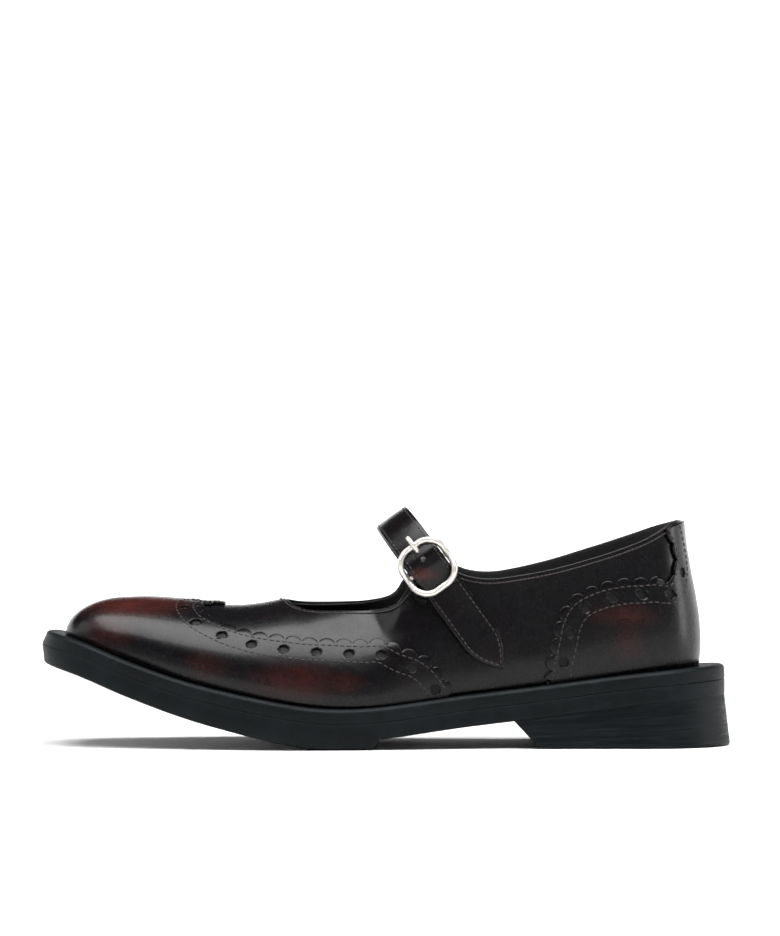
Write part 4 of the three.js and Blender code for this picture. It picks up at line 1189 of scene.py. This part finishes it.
class Finish:
    """A material put together from nodes. Patterns lie in the shoe's own space, in millimetres."""

    def __init__(self, name):
        self.material = bpy.data.materials.new(name)
        self.material.use_nodes = True
        self.tree = self.material.node_tree
        self.shader = next(node for node in self.tree.nodes if node.type == "BSDF_PRINCIPLED")
        coordinates = self.node("ShaderNodeTexCoord")
        scaled = self.node("ShaderNodeVectorMath", operation="SCALE")
        self.join(coordinates.outputs["Object"], scaled.inputs[0])
        scaled.inputs["Scale"].default_value = 1000.0
        self.place = scaled.outputs[0]

    def node(self, kind, **settings):
        node = self.tree.nodes.new(kind)
        for key, value in settings.items():
            setattr(node, key, value)
        return node

    def join(self, source, target):
        self.tree.links.new(source, target)

    def put(self, target, value):
        if isinstance(value, bpy.types.NodeSocket):
            self.join(value, target)
        else:
            target.default_value = value

    def feed(self, name, value):
        self.join(value, self.shader.inputs[name])

    def uniform(self, **values):
        for key, value in values.items():
            self.shader.inputs[key.replace("_", " ")].default_value = value

    def noise(self, size, detail=3.0, roughness=0.5, vector=None, stretch=(1, 1, 1)):
        """Noise whose features are about a size in millimetres, stretched by factors along the axes."""
        mapping = self.node("ShaderNodeMapping")
        mapping.inputs["Scale"].default_value = [1 / (size * factor) for factor in stretch]
        self.join(vector or self.place, mapping.inputs["Vector"])
        noise = self.node("ShaderNodeTexNoise")
        noise.inputs["Scale"].default_value = 1.0
        noise.inputs["Detail"].default_value = detail
        noise.inputs["Roughness"].default_value = roughness
        self.join(mapping.outputs[0], noise.inputs["Vector"])
        return noise.outputs["Fac"]

    def cells(self, size):
        """Distance within cells of about a size in millimetres, as leather grain has."""
        mapping = self.node("ShaderNodeMapping")
        mapping.inputs["Scale"].default_value = (1 / size,) * 3
        self.join(self.place, mapping.inputs["Vector"])
        cell = self.node("ShaderNodeTexVoronoi", feature="DISTANCE_TO_EDGE")
        self.join(mapping.outputs[0], cell.inputs["Vector"])
        return cell.outputs["Distance"]

    def spread(self, value, low, high, to_low=0.0, to_high=1.0):
        node = self.node("ShaderNodeMapRange", interpolation_type="SMOOTHSTEP")
        self.put(node.inputs["Value"], value)
        for key, number in (("From Min", low), ("From Max", high), ("To Min", to_low), ("To Max", to_high)):
            node.inputs[key].default_value = number
        return node.outputs["Result"]

    def maths(self, operation, a, b=0.0):
        node = self.node("ShaderNodeMath", operation=operation)
        self.put(node.inputs[0], a)
        self.put(node.inputs[1], b)
        return node.outputs[0]

    def blend(self, factor, a, b):
        node = self.node("ShaderNodeMix", data_type="RGBA")
        self.put(node.inputs[0], factor)
        self.put(node.inputs[6], a)
        self.put(node.inputs[7], b)
        return node.outputs[2]

    def axes(self):
        """X, Y and Z of the place."""
        apart = self.node("ShaderNodeSeparateXYZ")
        self.join(self.place, apart.inputs[0])
        return [apart.outputs[k] for k in range(3)]

    def point(self, *values):
        """A place put together from X, Y and Z."""
        together = self.node("ShaderNodeCombineXYZ")
        for k, value in enumerate(values):
            self.join(value, together.inputs[k])
        return together.outputs[0]

    def mirrored(self):
        """The place with its Y made positive, so that both sides of the shoe share a pattern."""
        x, y, z = self.axes()
        return self.point(x, self.maths("ABSOLUTE", y), z)

    def patch(self, vector, centre, radii):
        """One in the middle of an ellipsoid and falling to nothing at its edge."""
        away = self.node("ShaderNodeVectorMath", operation="SUBTRACT")
        self.join(vector, away.inputs[0])
        away.inputs[1].default_value = centre
        share = self.node("ShaderNodeVectorMath", operation="DIVIDE")
        self.join(away.outputs[0], share.inputs[0])
        share.inputs[1].default_value = radii
        size = self.node("ShaderNodeVectorMath", operation="LENGTH")
        self.join(share.outputs[0], size.inputs[0])
        return self.spread(size.outputs["Value"], 0.15, 1.0, 1.0, 0.0)

    def bump(self, heights):
        """Relief from pairs of a pattern and its depth in millimetres, one on the other."""
        normal = None
        for height, depth in heights:
            node = self.node("ShaderNodeBump")
            node.inputs["Distance"].default_value = depth * MM
            self.join(height, node.inputs["Height"])
            if normal is not None:
                self.join(normal, node.inputs["Normal"])
            normal = node.outputs[0]
        self.join(normal, self.shader.inputs["Normal"])


# Burnished patches: middle and radii in millimetres, on either side, and their strength
PATCHES = (
    ((-103.0, 4.0, 56.0), (32.0, 34.0, 11.0), 0.75),
    ((-112.0, 26.0, 47.0), (16.0, 18.0, 11.0), 0.22),
    ((-73.0, 44.0, 33.5), (14.0, 14.0, 9.0), 0.2),
    ((-36.0, 46.0, 27.5), (26.0, 15.0, 11.0), 0.3),
    ((-18.0, 46.0, 27.0), (14.0, 15.0, 7.0), 0.22),
    ((98.0, 33.0, 53.5), (20.0, 14.0, 7.0), 0.3),
    ((99.0, 34.0, 43.0), (10.0, 12.0, 13.0), 0.25),
    ((15.0, 36.0, 70.0), (9.0, 12.0, 4.0), 0.5),
)


def polished_upper(colours):
    """Polished leather, near black, that shows oxblood in worn patches: fine grain, faint waves and a
    thin coat of wax."""
    finish = Finish("polished_upper")
    vector = finish.mirrored()
    total = None
    for centre, radii, strength in PATCHES:
        part = finish.maths("MULTIPLY", finish.patch(vector, centre, radii), strength)
        total = part if total is None else finish.maths("MAXIMUM", total, part)
    cloud = finish.spread(finish.noise(9.0, 4.0, 0.6), 0.32, 0.68, 0.7, 1.12)
    total = finish.maths("MULTIPLY", total, cloud)
    streak = finish.spread(finish.noise(2.2, 3.0, 0.6, stretch=(4, 1, 1)), 0.35, 0.7, 0.75, 1.1)
    total = finish.maths("MULTIPLY", total, streak)
    warm = finish.spread(finish.noise(26.0, 3.0, 0.6), 0.45, 0.75, 0.0, 0.02)
    total = finish.maths("MAXIMUM", total, warm)
    finish.feed("Base Color", finish.blend(total, rgba(colours.leather), rgba(colours.burnish)))
    finish.feed("Roughness", finish.spread(finish.noise(5.0, 5.0, 0.6), 0.3, 0.7, 0.24, 0.3))
    finish.uniform(Specular_IOR_Level=0.18, Coat_Weight=0.08, Coat_Roughness=0.12)
    finish.bump(((finish.cells(0.55), 0.012), (finish.noise(1.6, 4.0, 0.6), 0.016),
                 (finish.noise(16.0, 2.0), 0.1)))
    return finish.material


def raw_edge(colours):
    """A cut leather edge: lighter, dull and fibrous."""
    finish = Finish("raw_edge")
    fibre = finish.spread(finish.noise(0.5, 5.0, 0.7), 0.3, 0.75)
    tint = finish.spread(finish.noise(6.0, 3.0), 0.4, 0.65)
    dark = rgba(colours.edge, 0.35)
    finish.feed("Base Color", finish.blend(tint, finish.blend(fibre, dark, rgba(colours.edge)), dark))
    finish.uniform(Roughness=0.75)
    finish.bump(((finish.noise(0.35, 4.0, 0.7), 0.05),))
    return finish.material


def edge_paint(colours):
    """The folded edge of the opening: a pale warm grey, partly wear along the fold and partly a painted
    highlight on the rolled edge.
    """
    finish = Finish("edge_paint")
    wear_and_highlight = finish.spread(finish.noise(2.5, 5.0, 0.65), 0.3, 0.7)
    dark = rgba(colours.edge_worn_highlight, 0.3)
    finish.feed("Base Color", finish.blend(wear_and_highlight, dark, rgba(colours.edge_worn_highlight)))
    finish.uniform(Roughness=0.5)
    finish.bump(((finish.noise(0.6, 4.0, 0.6), 0.03),))
    return finish.material


def stained_sole(colours):
    """Stained sole leather: satin and pebbly, with faint level streaks and soft paler clouds."""
    finish = Finish("stained_sole")
    fine = finish.noise(0.7, 5.0, 0.65)
    broad = finish.spread(finish.noise(18.0, 4.0, 0.6), 0.35, 0.7)
    finish.feed("Base Color", finish.blend(broad, rgba(colours.sole), rgba(colours.sole, 1.7)))
    finish.feed("Roughness", finish.spread(fine, 0.3, 0.7, 0.36, 0.58))
    finish.uniform(Specular_IOR_Level=0.09)
    streaks = finish.noise(0.9, 4.0, 0.6, stretch=(14, 14, 1))
    finish.bump(((fine, 0.11), (finish.cells(0.9), 0.03), (streaks, 0.05)))
    return finish.material


def heel_stack(colours):
    """Stacked heel leather: streaks that fan from level at the floor to the slope of the seat."""
    finish = Finish("heel_stack")
    seat_slope, seat_height, height = 0.111, 5.4, 18.0
    x, y, z = finish.axes()
    seat = finish.maths("ADD", finish.maths("MULTIPLY", x, seat_slope), seat_height)
    fan = finish.point(x, y, finish.maths("MULTIPLY", finish.maths("DIVIDE", z, seat), height))
    streaks = finish.noise(0.9, 6.0, 0.62, vector=fan, stretch=(26, 26, 1))
    wide = finish.noise(3.2, 3.0, 0.5, vector=fan, stretch=(22, 22, 1))
    worn = finish.spread(streaks, 0.42, 0.72)
    finish.feed("Base Color", finish.blend(worn, rgba(colours.sole), rgba(colours.sole, 2.3)))
    finish.feed("Roughness", finish.spread(streaks, 0.3, 0.7, 0.34, 0.6))
    finish.uniform(Specular_IOR_Level=0.08)
    finish.bump(((streaks, 0.14), (wide, 0.25), (finish.noise(0.5, 4.0), 0.03)))
    return finish.material


def soft_lining(colours):
    """Black lining leather: dull, with a fine even grain and a few soft scuffs. The discs in the large
    punches wear it too, as painted shade.
    """
    finish = Finish("soft_lining")
    scuff = finish.spread(finish.noise(11.0, 5.0, 0.65), 0.5, 0.75)
    finish.feed("Base Color", finish.blend(scuff, rgba(colours.lining), rgba(colours.lining, 2.2)))
    finish.feed("Roughness", finish.spread(finish.noise(1.5, 4.0), 0.3, 0.7, 0.5, 0.7))
    finish.uniform(Specular_IOR_Level=0.2)
    finish.bump(((finish.cells(0.7), 0.03), (finish.noise(0.4, 3.0), 0.02)))
    return finish.material


def satin_nickel(colours):
    """Worn nickel plate: bright, softly brushed, with faint rubbed spots."""
    finish = Finish("satin_nickel")
    rubbed = finish.spread(finish.noise(1.8, 5.0, 0.65), 0.35, 0.7)
    finish.feed("Base Color", finish.blend(rubbed, rgba(colours.metal), rgba(colours.metal, 0.82)))
    brushed = finish.noise(0.5, 4.0, 0.6, stretch=(1, 1, 6))
    finish.feed("Roughness", finish.spread(brushed, 0.3, 0.7, 0.36, 0.46))
    finish.uniform(Metallic=1.0)
    finish.bump(((brushed, 0.006),))
    return finish.material


def thread(colours):
    """Waxed thread with a twist, a little lighter than the leather."""
    finish = Finish("thread")
    twist = finish.noise(0.25, 3.0, 0.6)
    finish.feed("Base Color", finish.blend(twist, rgba(colours.thread, 0.4), rgba(colours.thread)))
    finish.uniform(Roughness=0.6)
    finish.bump(((twist, 0.03),))
    return finish.material


def pale_floor(colours):
    """The studio sweep: matt and near white, with a glow of its own that grows away from the shoe and is
    weaker on the camera's side."""
    finish = Finish("pale_floor")
    mottle = finish.spread(finish.noise(300.0, 3.0), 0.3, 0.7)
    finish.feed("Base Color", finish.blend(mottle, rgba(colours.floor), rgba(colours.floor, 0.99)))
    away = finish.node("ShaderNodeVectorMath", operation="LENGTH")
    finish.join(finish.place, away.inputs[0])
    glow = finish.spread(away.outputs["Value"], 420.0, 1500.0, 0.0, 1.0)
    behind = finish.spread(finish.axes()[1], -1200.0, 300.0, 0.12, 1.0)
    finish.feed("Emission Strength", finish.maths("MULTIPLY", glow, behind))
    finish.uniform(Roughness=0.9, Specular_IOR_Level=0.1)
    finish.shader.inputs["Emission Color"].default_value = (1.0, 1.0, 1.0, 1.0)
    return finish.material


FINISHES = {
    "polished_upper": polished_upper, "raw_edge": raw_edge, "edge_paint": edge_paint,
    "stained_sole": stained_sole, "heel_stack": heel_stack, "soft_lining": soft_lining,
    "satin_nickel": satin_nickel, "thread": thread, "pale_floor": pale_floor,
}


def finish_named(name, colours):
    """The material of a name, made the first time it is asked for."""
    return bpy.data.materials.get(name) or FINISHES[name](colours)


def dress(obj, colours, finishes, slot, *nodes):
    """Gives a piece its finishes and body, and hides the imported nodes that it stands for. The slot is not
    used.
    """
    obj.data.materials.clear()
    for name in finishes:
        obj.data.materials.append(finish_named(name, colours))
    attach(obj, "root")
    if nodes:
        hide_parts(*nodes)
    return obj


def length(name, description, default):
    return bpy.props.FloatProperty(name=name, description=description, default=default,
                                   unit="LENGTH", subtype="DISTANCE", precision=5)


def part(name, description, default):
    return bpy.props.FloatProperty(name=name, description=description, default=default,
                                   subtype="FACTOR", min=0.0, max=1.0)


def power(name, description, default):
    return bpy.props.FloatProperty(name=name, description=description, default=default, unit="POWER")


def colour(name, description, default):
    return bpy.props.FloatVectorProperty(name=name, description=description, default=default,
                                         size=3, subtype="COLOR", min=0.0, max=1.0)


class ShoeForm(bpy.types.PropertyGroup):
    """Sizes of the last, the upper, the sole and the heel."""
    sole_length: length("Sole length", "Toe to heel along the sole", 0.2844)
    toe_x: length("Toe place", "X of the sole's tip", -0.1432)
    ball_width: length("Ball width", "Width of the sole at the ball", 0.097)
    collar_height: length("Collar height", "Height of the collar at the back seam", 0.093)
    toe_lift: length("Toe lift", "Height of the sole's top face at the tip", 0.0486)
    ledge_width: length("Ledge width", "Bare welt in front of the toe", 0.012)
    welt_thickness: length("Welt thickness", "Height of the welt's edge", 0.0061)
    outsole_thickness: length("Outsole thickness", "Height of the outsole's edge", 0.0066)
    tread_depth: length("Tread depth", "Extra depth under the ball", 0.0039)
    tread_end: part("Tread end", "Where the tread ends, as a share of the length", 0.492)
    rim_round: length("Rim round", "Radius of the welt's rim", 0.0022)
    upper_wall: length("Upper wall", "Leather and lining together", 0.0022)
    insole_rise: length("Insole rise", "Height of the insole over the welt", 0.0024)
    breast_top: part("Breast place", "Where the heel's front meets the sole, as a share of the length", 0.686)
    breast_slant: length("Breast slant", "How far the heel's front leans back at the floor", 0.0105)
    heel_flare: length("Heel flare", "How far the heel spreads at the floor", 0.002)


class ShoeBrogue(bpy.types.PropertyGroup):
    """Sizes of the scallops, punches and stitches."""
    scallop_pitch: length("Scallop pitch", "Width of one scallop", 0.007)
    scallop_rise: length("Scallop rise", "How far a scallop stands off its cusps", 0.0031)
    overlay_thickness: length("Overlay thickness", "Height of an overlay over the upper", 0.0014)
    band_width: length("Band width", "From the cusps to the lower stitch line", 0.0075)
    punch_pitch: length("Punch pitch", "Between large punches", 0.0132)
    punch_diameter: length("Punch diameter", "Width of a large punch", 0.0042)
    pinhole_diameter: length("Pinhole diameter", "Width of a small punch", 0.0013)
    stitch_pitch: length("Stitch pitch", "From one stitch to the next", 0.0026)
    stitch_length: length("Stitch length", "Length of one stitch", 0.0021)
    thread_thickness: length("Thread thickness", "Width of the thread", 0.00055)


class ShoeStrap(bpy.types.PropertyGroup):
    """Sizes of the strap and its buckle."""
    strap_width: length("Strap width", "Width of the strap", 0.0154)
    strap_thickness: length("Strap thickness", "Thickness of the strap", 0.0024)
    strap_tilt: bpy.props.FloatProperty(name="Strap tilt", description="Lean of the strap in side view",
                                        default=math.radians(36), subtype="ANGLE", unit="ROTATION")
    strap_top: length("Strap top", "From the buckle's middle up to the top of the arch", 0.026)
    strap_tail: length("Strap tail", "From the buckle's middle down to the point", 0.051)
    strap_lap: length("Strap lap", "How far the strap laps onto the inner ear", 0.017)
    strap_span: length("Strap span", "Width inside the arch", 0.061)
    strap_bump: length("Strap bump", "Lift of the strap over the bar", 0.0029)
    buckle_x: length("Buckle place", "X of the buckle's middle", 0.0172)
    buckle_z: length("Buckle height", "Z of the buckle's middle", 0.0736)
    buckle_length: length("Buckle length", "Along the strap", 0.0228)
    buckle_breadth: length("Buckle breadth", "Across the strap", 0.022)
    buckle_wire: length("Buckle wire", "Thickness of the frame", 0.0026)
    bar_diameter: length("Bar diameter", "Thickness of the centre bar", 0.002)
    prong_diameter: length("Prong diameter", "Thickness of the prong", 0.0018)


class ShoeColours(bpy.types.PropertyGroup):
    """Colours of the leather, thread, metal and floor."""
    leather: colour("Leather", "Dark ground of the leather", (0.002, 0.0018, 0.0024))
    burnish: colour("Burnish", "Oxblood of the worn patches", (0.07, 0.0125, 0.009))
    edge: colour("Raw edge", "Cut edge of the overlays and the strap", (0.14, 0.055, 0.03))
    # Pale edge of the opening: wear along the fold and a painted highlight on the rolled edge.
    edge_worn_highlight: colour("Worn edge", "Edge of the opening", (0.46, 0.36, 0.34))
    sole: colour("Sole", "Stain of the sole and the heel", (0.003, 0.0042, 0.0048))
    # The lining's colour also tints the discs of painted shade in the large punches.
    lining: colour("Lining", "Lining and insole", (0.0075, 0.0075, 0.008))
    metal: colour("Metal", "Buckle and prong", (0.74, 0.71, 0.66))
    thread: colour("Thread", "Stitching", (0.022, 0.013, 0.012))
    floor: colour("Floor", "Studio floor", (0.8, 0.8, 0.8))


class ShoeStudio(bpy.types.PropertyGroup):
    """Light and camera."""
    key: power("Key light", "Power of the light beyond the toe", 5.0)
    top: power("Top light", "Power of the overhead light", 48.0)
    side: power("Side light", "Power of the light behind the heel", 5.3)
    sky: bpy.props.FloatProperty(name="Room light", description="Strength of the room's even light",
                                 default=0.05, min=0.0)
    lens: bpy.props.FloatProperty(name="Lens", description="Focal length", default=91.6, unit="CAMERA")


class Shoe:
    """The groups of a scene and the form made from them."""

    def __init__(self, context):
        scene = context.scene
        self.form = scene.shoe_form
        self.brogue = scene.shoe_brogue
        self.strap = scene.shoe_strap
        self.colours = scene.shoe_colours
        self.studio = scene.shoe_studio
        self.last = Last(self.form)


class ShoeStep:
    """A step that makes some pieces of the shoe from the scene's settings."""

    def execute(self, context):
        self.make(Shoe(context))
        return {"FINISHED"}


class SHOE_OT_sole(ShoeStep, bpy.types.Operator):
    """Make the outsole, the welt and the insole"""
    bl_idname = "shoe.sole"
    bl_label = "Sole"

    def make(self, shoe):
        dress(make_outsole(shoe.last, shoe.form), shoe.colours, ["stained_sole"], "sole_leather", "outsole")
        dress(make_welt(shoe.last, shoe.form), shoe.colours, ["stained_sole"], "sole_leather", "welt")
        dress(make_insole(shoe.last, shoe.form), shoe.colours, ["soft_lining"], "lining_leather", "insole")


class SHOE_OT_heel(ShoeStep, bpy.types.Operator):
    """Make the stacked heel"""
    bl_idname = "shoe.heel"
    bl_label = "Heel"

    def make(self, shoe):
        dress(make_heel(shoe.last, shoe.form), shoe.colours, ["heel_stack"], "sole_leather", "heel")


class SHOE_OT_upper(ShoeStep, bpy.types.Operator):
    """Make the upper, its lining and the stitches round its opening"""
    bl_idname = "shoe.upper"
    bl_label = "Upper"

    def make(self, shoe):
        last, brogue = shoe.last, shoe.brogue
        seam = last.wall / 2
        outer = wall_piece("upper_leather", last, 0.0, -seam, 7, (230, 52))
        dress(outer, shoe.colours, ["polished_upper", "edge_paint"], "burnished_leather", "upper")
        inner = wall_piece("upper_lining", last, -seam - 0.02, -last.wall, 5, (150, 30))
        dress(inner, shoe.colours, ["soft_lining", "soft_lining"], "lining_leather")
        points, normals, away = opening_edge(last)
        around, inset, sink = 620, 1.5, 0.05
        count = int(around / (brogue.stitch_pitch / MM))
        rows = resample(np.column_stack([points, normals, away]), count)
        normals = unit(rows[:, 3:6])
        line = rows[:, :3] - unit(rows[:, 6:9]) * inset
        work = Patchwork()
        stitches(work, line[:-1], normals[:-1], brogue.stitch_length / MM, brogue.thread_thickness / MM, sink)
        dress(work.build("collar_stitches"), shoe.colours, ["thread"], "burnished_leather")


def brogue_band(shoe, name, bands, far, amount, node, rows_in, punch_ends, pitch_share=1.0):
    """An overlay with its punches cut through and its two stitch lines laid on."""
    last, brogue = shoe.last, shoe.brogue
    thick = brogue.overlay_thickness / MM
    width = brogue.band_width / MM
    piece = overlay_piece(name, last, bands, far, 0.04, thick, brogue.scallop_rise / MM, 12, amount, rows_in)
    large, small = [], []
    first, margin = punch_ends
    pitch = brogue.punch_pitch / MM * pitch_share
    middle = -width * 0.52
    for band in bands:
        large.append(band.row(middle, pitch, first, 0.0, (0.0, margin)))
        for shift, off in ((0.47, 1.0), (0.58, -1.0)):
            start = first + pitch * (shift - 1)
            small.append(band.row(middle + off, pitch, start, 0.0, (pitch * 0.5, 3.0)))
    radius = brogue.punch_diameter / MM / 2
    pin = brogue.pinhole_diameter / MM / 2
    low, high = -0.8, 3.0
    punch_shade_lift, edge_line = 0.3, -0.55
    cut_with(piece, [punches("large", large, radius, 20, low, high),
                     punches("small", small, pin, 8, low, high)])
    dress(piece, shoe.colours, ["polished_upper", "raw_edge"], "burnished_leather", node)
    # Painted shade: dull dark discs in the large punches stand in for the shadow inside the holes.
    punch_shade_discs = painted_punch_shade(large, radius * 0.99, punch_shade_lift).build(node + "_backing")
    dress(punch_shade_discs, shoe.colours, ["soft_lining"], "burnished_leather")
    work = Patchwork()
    for band in bands:
        for distance in (edge_line, -width):
            points, normals, _, _ = band.row(distance, brogue.stitch_pitch / MM, 0.8, thick, (0.6, 1.2))
            stitches(work, points, normals, brogue.stitch_length / MM, brogue.thread_thickness / MM)
    dress(work.build(node + "_stitches"), shoe.colours, ["thread"], "burnished_leather")


class SHOE_OT_wing_cap(ShoeStep, bpy.types.Operator):
    """Make the wing cap with its scallops, punches and stitches"""
    bl_idname = "shoe.wing_cap"
    bl_label = "Wing cap"

    def make(self, shoe):
        pitch = shoe.brogue.scallop_pitch / MM
        bands = [Band(shoe.last, sign, CAP_EDGE, 1.0, pitch, 12) for sign in (-1.0, 1.0)]

        def far(band):
            return [(0.0, 0.0, 1.0), (0.16, 0.0, 0.45), (0.3, 0.0, 0.0), (1.0, band.p[-1], 0.0)]

        brogue_band(shoe, "wing_cap_leather", bands, far, np.ones_like, "wing_cap", 34, (7.8, 3.0))


class SHOE_OT_heel_counter(ShoeStep, bpy.types.Operator):
    """Make the heel counter and back strip with their scallops, punches and stitches"""
    bl_idname = "shoe.heel_counter"
    bl_label = "Heel counter"

    def make(self, shoe):
        pitch = shoe.brogue.scallop_pitch / MM
        bands = [Band(shoe.last, sign, COUNTER_EDGE, -1.0, pitch, 12) for sign in (-1.0, 1.0)]

        def far(band):
            return [(0.0, 1.0, 1.0), (0.24, 1.0, 0.55), (0.42, 1.0, 0.0), (1.0, band.p[-1], 0.0)]

        def amount(share):
            return 0.35 + 0.65 * np.clip((share - 0.24) / 0.06, 0, 1)

        brogue_band(shoe, "heel_counter_leather", bands, far, amount, "heel_counter", 30, (20.5, 3.0), 0.92)


class SHOE_OT_strap(ShoeStep, bpy.types.Operator):
    """Make the strap with its holes and stitched edges"""
    bl_idname = "shoe.strap"
    bl_label = "Strap"

    def make(self, shoe):
        brogue = shoe.brogue
        path = StrapPath(shoe.last, shoe.strap)
        strap = make_strap(path)
        places = np.array([8.2, 3.4])
        hole_radius, stitch_inset, finer = 1.05, 1.5, 0.85
        points, normals = path.over(places, np.zeros(2), np.zeros(2))
        tangent = np.repeat(path.up[None], 2, 0)
        across = np.repeat(path.wide[None], 2, 0)
        rows = [(points, normals, tangent, across)]
        cut_with(strap, [punches("holes", rows, hole_radius, 16, -1.0, 8.0)])
        dress(strap, shoe.colours, ["polished_upper", "raw_edge"], "burnished_leather", "strap")
        work = Patchwork()
        for points, normals in strap_rows(path, stitch_inset, brogue.stitch_pitch / MM * finer):
            stitches(work, points, normals, brogue.stitch_length / MM * finer, brogue.thread_thickness / MM)
        dress(work.build("strap_stitches"), shoe.colours, ["thread"], "burnished_leather")


class SHOE_OT_buckle(ShoeStep, bpy.types.Operator):
    """Make the buckle's frame, bar and prong"""
    bl_idname = "shoe.buckle"
    bl_label = "Buckle"

    def make(self, shoe):
        path = StrapPath(shoe.last, shoe.strap)
        buckle, bar_lift, end_lift = make_buckle(path, shoe.strap)
        dress(buckle, shoe.colours, ["satin_nickel"], "buckle_metal", "buckle_frame")
        prong = make_prong(path, shoe.strap, bar_lift, end_lift)
        dress(prong, shoe.colours, ["satin_nickel"], "buckle_metal", "buckle_prong")


# Lights: name, place, aim and size in metres, and the setting that holds the power
LIGHTS = (
    ("left_light", (-1.25, -0.25, 0.85), (-0.03, 0, 0.04), (0.9, 0.9), "key"),
    ("top_light", (0.0, -0.36, 1.28), (0.0, -0.04, 0.03), (1.5, 1.1), "top"),
    ("heel_light", (1.3, -0.1, 0.35), (0.1, 0, 0.04), (0.35, 0.8), "side"),
)
CAMERA_PLACE = (0.0017, -1.0, 0.062)
CAMERA_TILT = 93.05


def area_light(name, place, target, size, power):
    """A rectangular light at a place, turned to a target."""
    light = bpy.data.lights.new(name, "AREA")
    light.shape = "RECTANGLE"
    light.size, light.size_y = size
    light.energy = power
    obj = bpy.data.objects.new(name, light)
    obj.location = place
    obj.rotation_euler = (Vector(target) - Vector(place)).to_track_quat("-Z", "Y").to_euler()
    bpy.context.scene.collection.objects.link(obj)


class SHOE_OT_studio(bpy.types.Operator):
    """Make the floor, the lights and the camera"""
    bl_idname = "shoe.studio"
    bl_label = "Studio"

    def execute(self, context):
        scene = context.scene
        shoe = Shoe(context)
        studio = shoe.studio
        level, bend, wall = 3.0, 0.6, 1.25
        turn = np.linspace(0, math.pi / 2, 16)
        reach = np.concatenate([np.linspace(0.0, level, 13), level + bend * np.sin(turn[1:]), [level + bend]])
        rise = np.concatenate([np.zeros(13), bend - bend * np.cos(turn[1:]), [wall]])
        round_turn = np.linspace(0, 2 * math.pi, 72, endpoint=False)
        sheet = np.stack([np.cos(round_turn)[None, :] * reach[:, None],
                          np.sin(round_turn)[None, :] * reach[:, None],
                          np.repeat(rise[:, None], len(round_turn), 1)], axis=-1)
        work = Patchwork()
        work.grid(sheet / MM, wrap=True)
        floor = work.build("studio_floor", outward=False)
        floor.data.materials.append(finish_named("pale_floor", shoe.colours))
        world = scene.world or bpy.data.worlds.new("Studio")
        scene.world = world
        world.use_nodes = True
        background = next(node for node in world.node_tree.nodes if node.type == "BACKGROUND")
        background.inputs["Color"].default_value = (1.0, 1.0, 1.0, 1.0)
        background.inputs["Strength"].default_value = studio.sky
        for name, place, target, size, setting in LIGHTS:
            area_light(name, place, target, size, getattr(studio, setting))
        camera = bpy.data.objects.new("camera", bpy.data.cameras.new("camera"))
        camera.data.lens = studio.lens
        camera.data.sensor_width = 36.0
        camera.location = CAMERA_PLACE
        camera.rotation_euler = (math.radians(CAMERA_TILT), 0.0, 0.0)
        scene.collection.objects.link(camera)
        scene.camera = camera
        scene.view_settings.view_transform = "Standard"
        return {"FINISHED"}


STEPS = ("sole", "heel", "upper", "wing_cap", "heel_counter", "strap", "buckle", "studio")


class SHOE_PT_panel(bpy.types.Panel):
    """Sizes, colours and pieces of the shoe"""
    bl_label = "Mary jane shoe"
    bl_idname = "SHOE_PT_panel"
    bl_space_type = "VIEW_3D"
    bl_region_type = "UI"
    bl_category = "Shoe"

    def draw(self, context):
        scene = context.scene
        for name in GROUPS:
            box = self.layout.box()
            group = getattr(scene, name)
            for key in group.__annotations__:
                box.prop(group, key)
        for step in STEPS:
            self.layout.operator("shoe." + step)


GROUPS = {
    "shoe_form": ShoeForm, "shoe_brogue": ShoeBrogue, "shoe_strap": ShoeStrap,
    "shoe_colours": ShoeColours, "shoe_studio": ShoeStudio,
}
CLASSES = (
    ShoeForm, ShoeBrogue, ShoeStrap, ShoeColours, ShoeStudio, SHOE_OT_sole, SHOE_OT_heel, SHOE_OT_upper,
    SHOE_OT_wing_cap, SHOE_OT_heel_counter, SHOE_OT_strap, SHOE_OT_buckle, SHOE_OT_studio, SHOE_PT_panel,
)


def register():
    for item in CLASSES:
        bpy.utils.register_class(item)
    for name, group in GROUPS.items():
        setattr(bpy.types.Scene, name, bpy.props.PointerProperty(type=group))


def unregister():
    for name in GROUPS:
        delattr(bpy.types.Scene, name)
    for item in reversed(CLASSES):
        bpy.utils.unregister_class(item)


def main():
    register()
    for step in STEPS:
        result = getattr(bpy.ops.shoe, step)()
        if result != {"FINISHED"}:
            raise RuntimeError("Could not make: " + step)


if __name__ == "__main__":
    main()
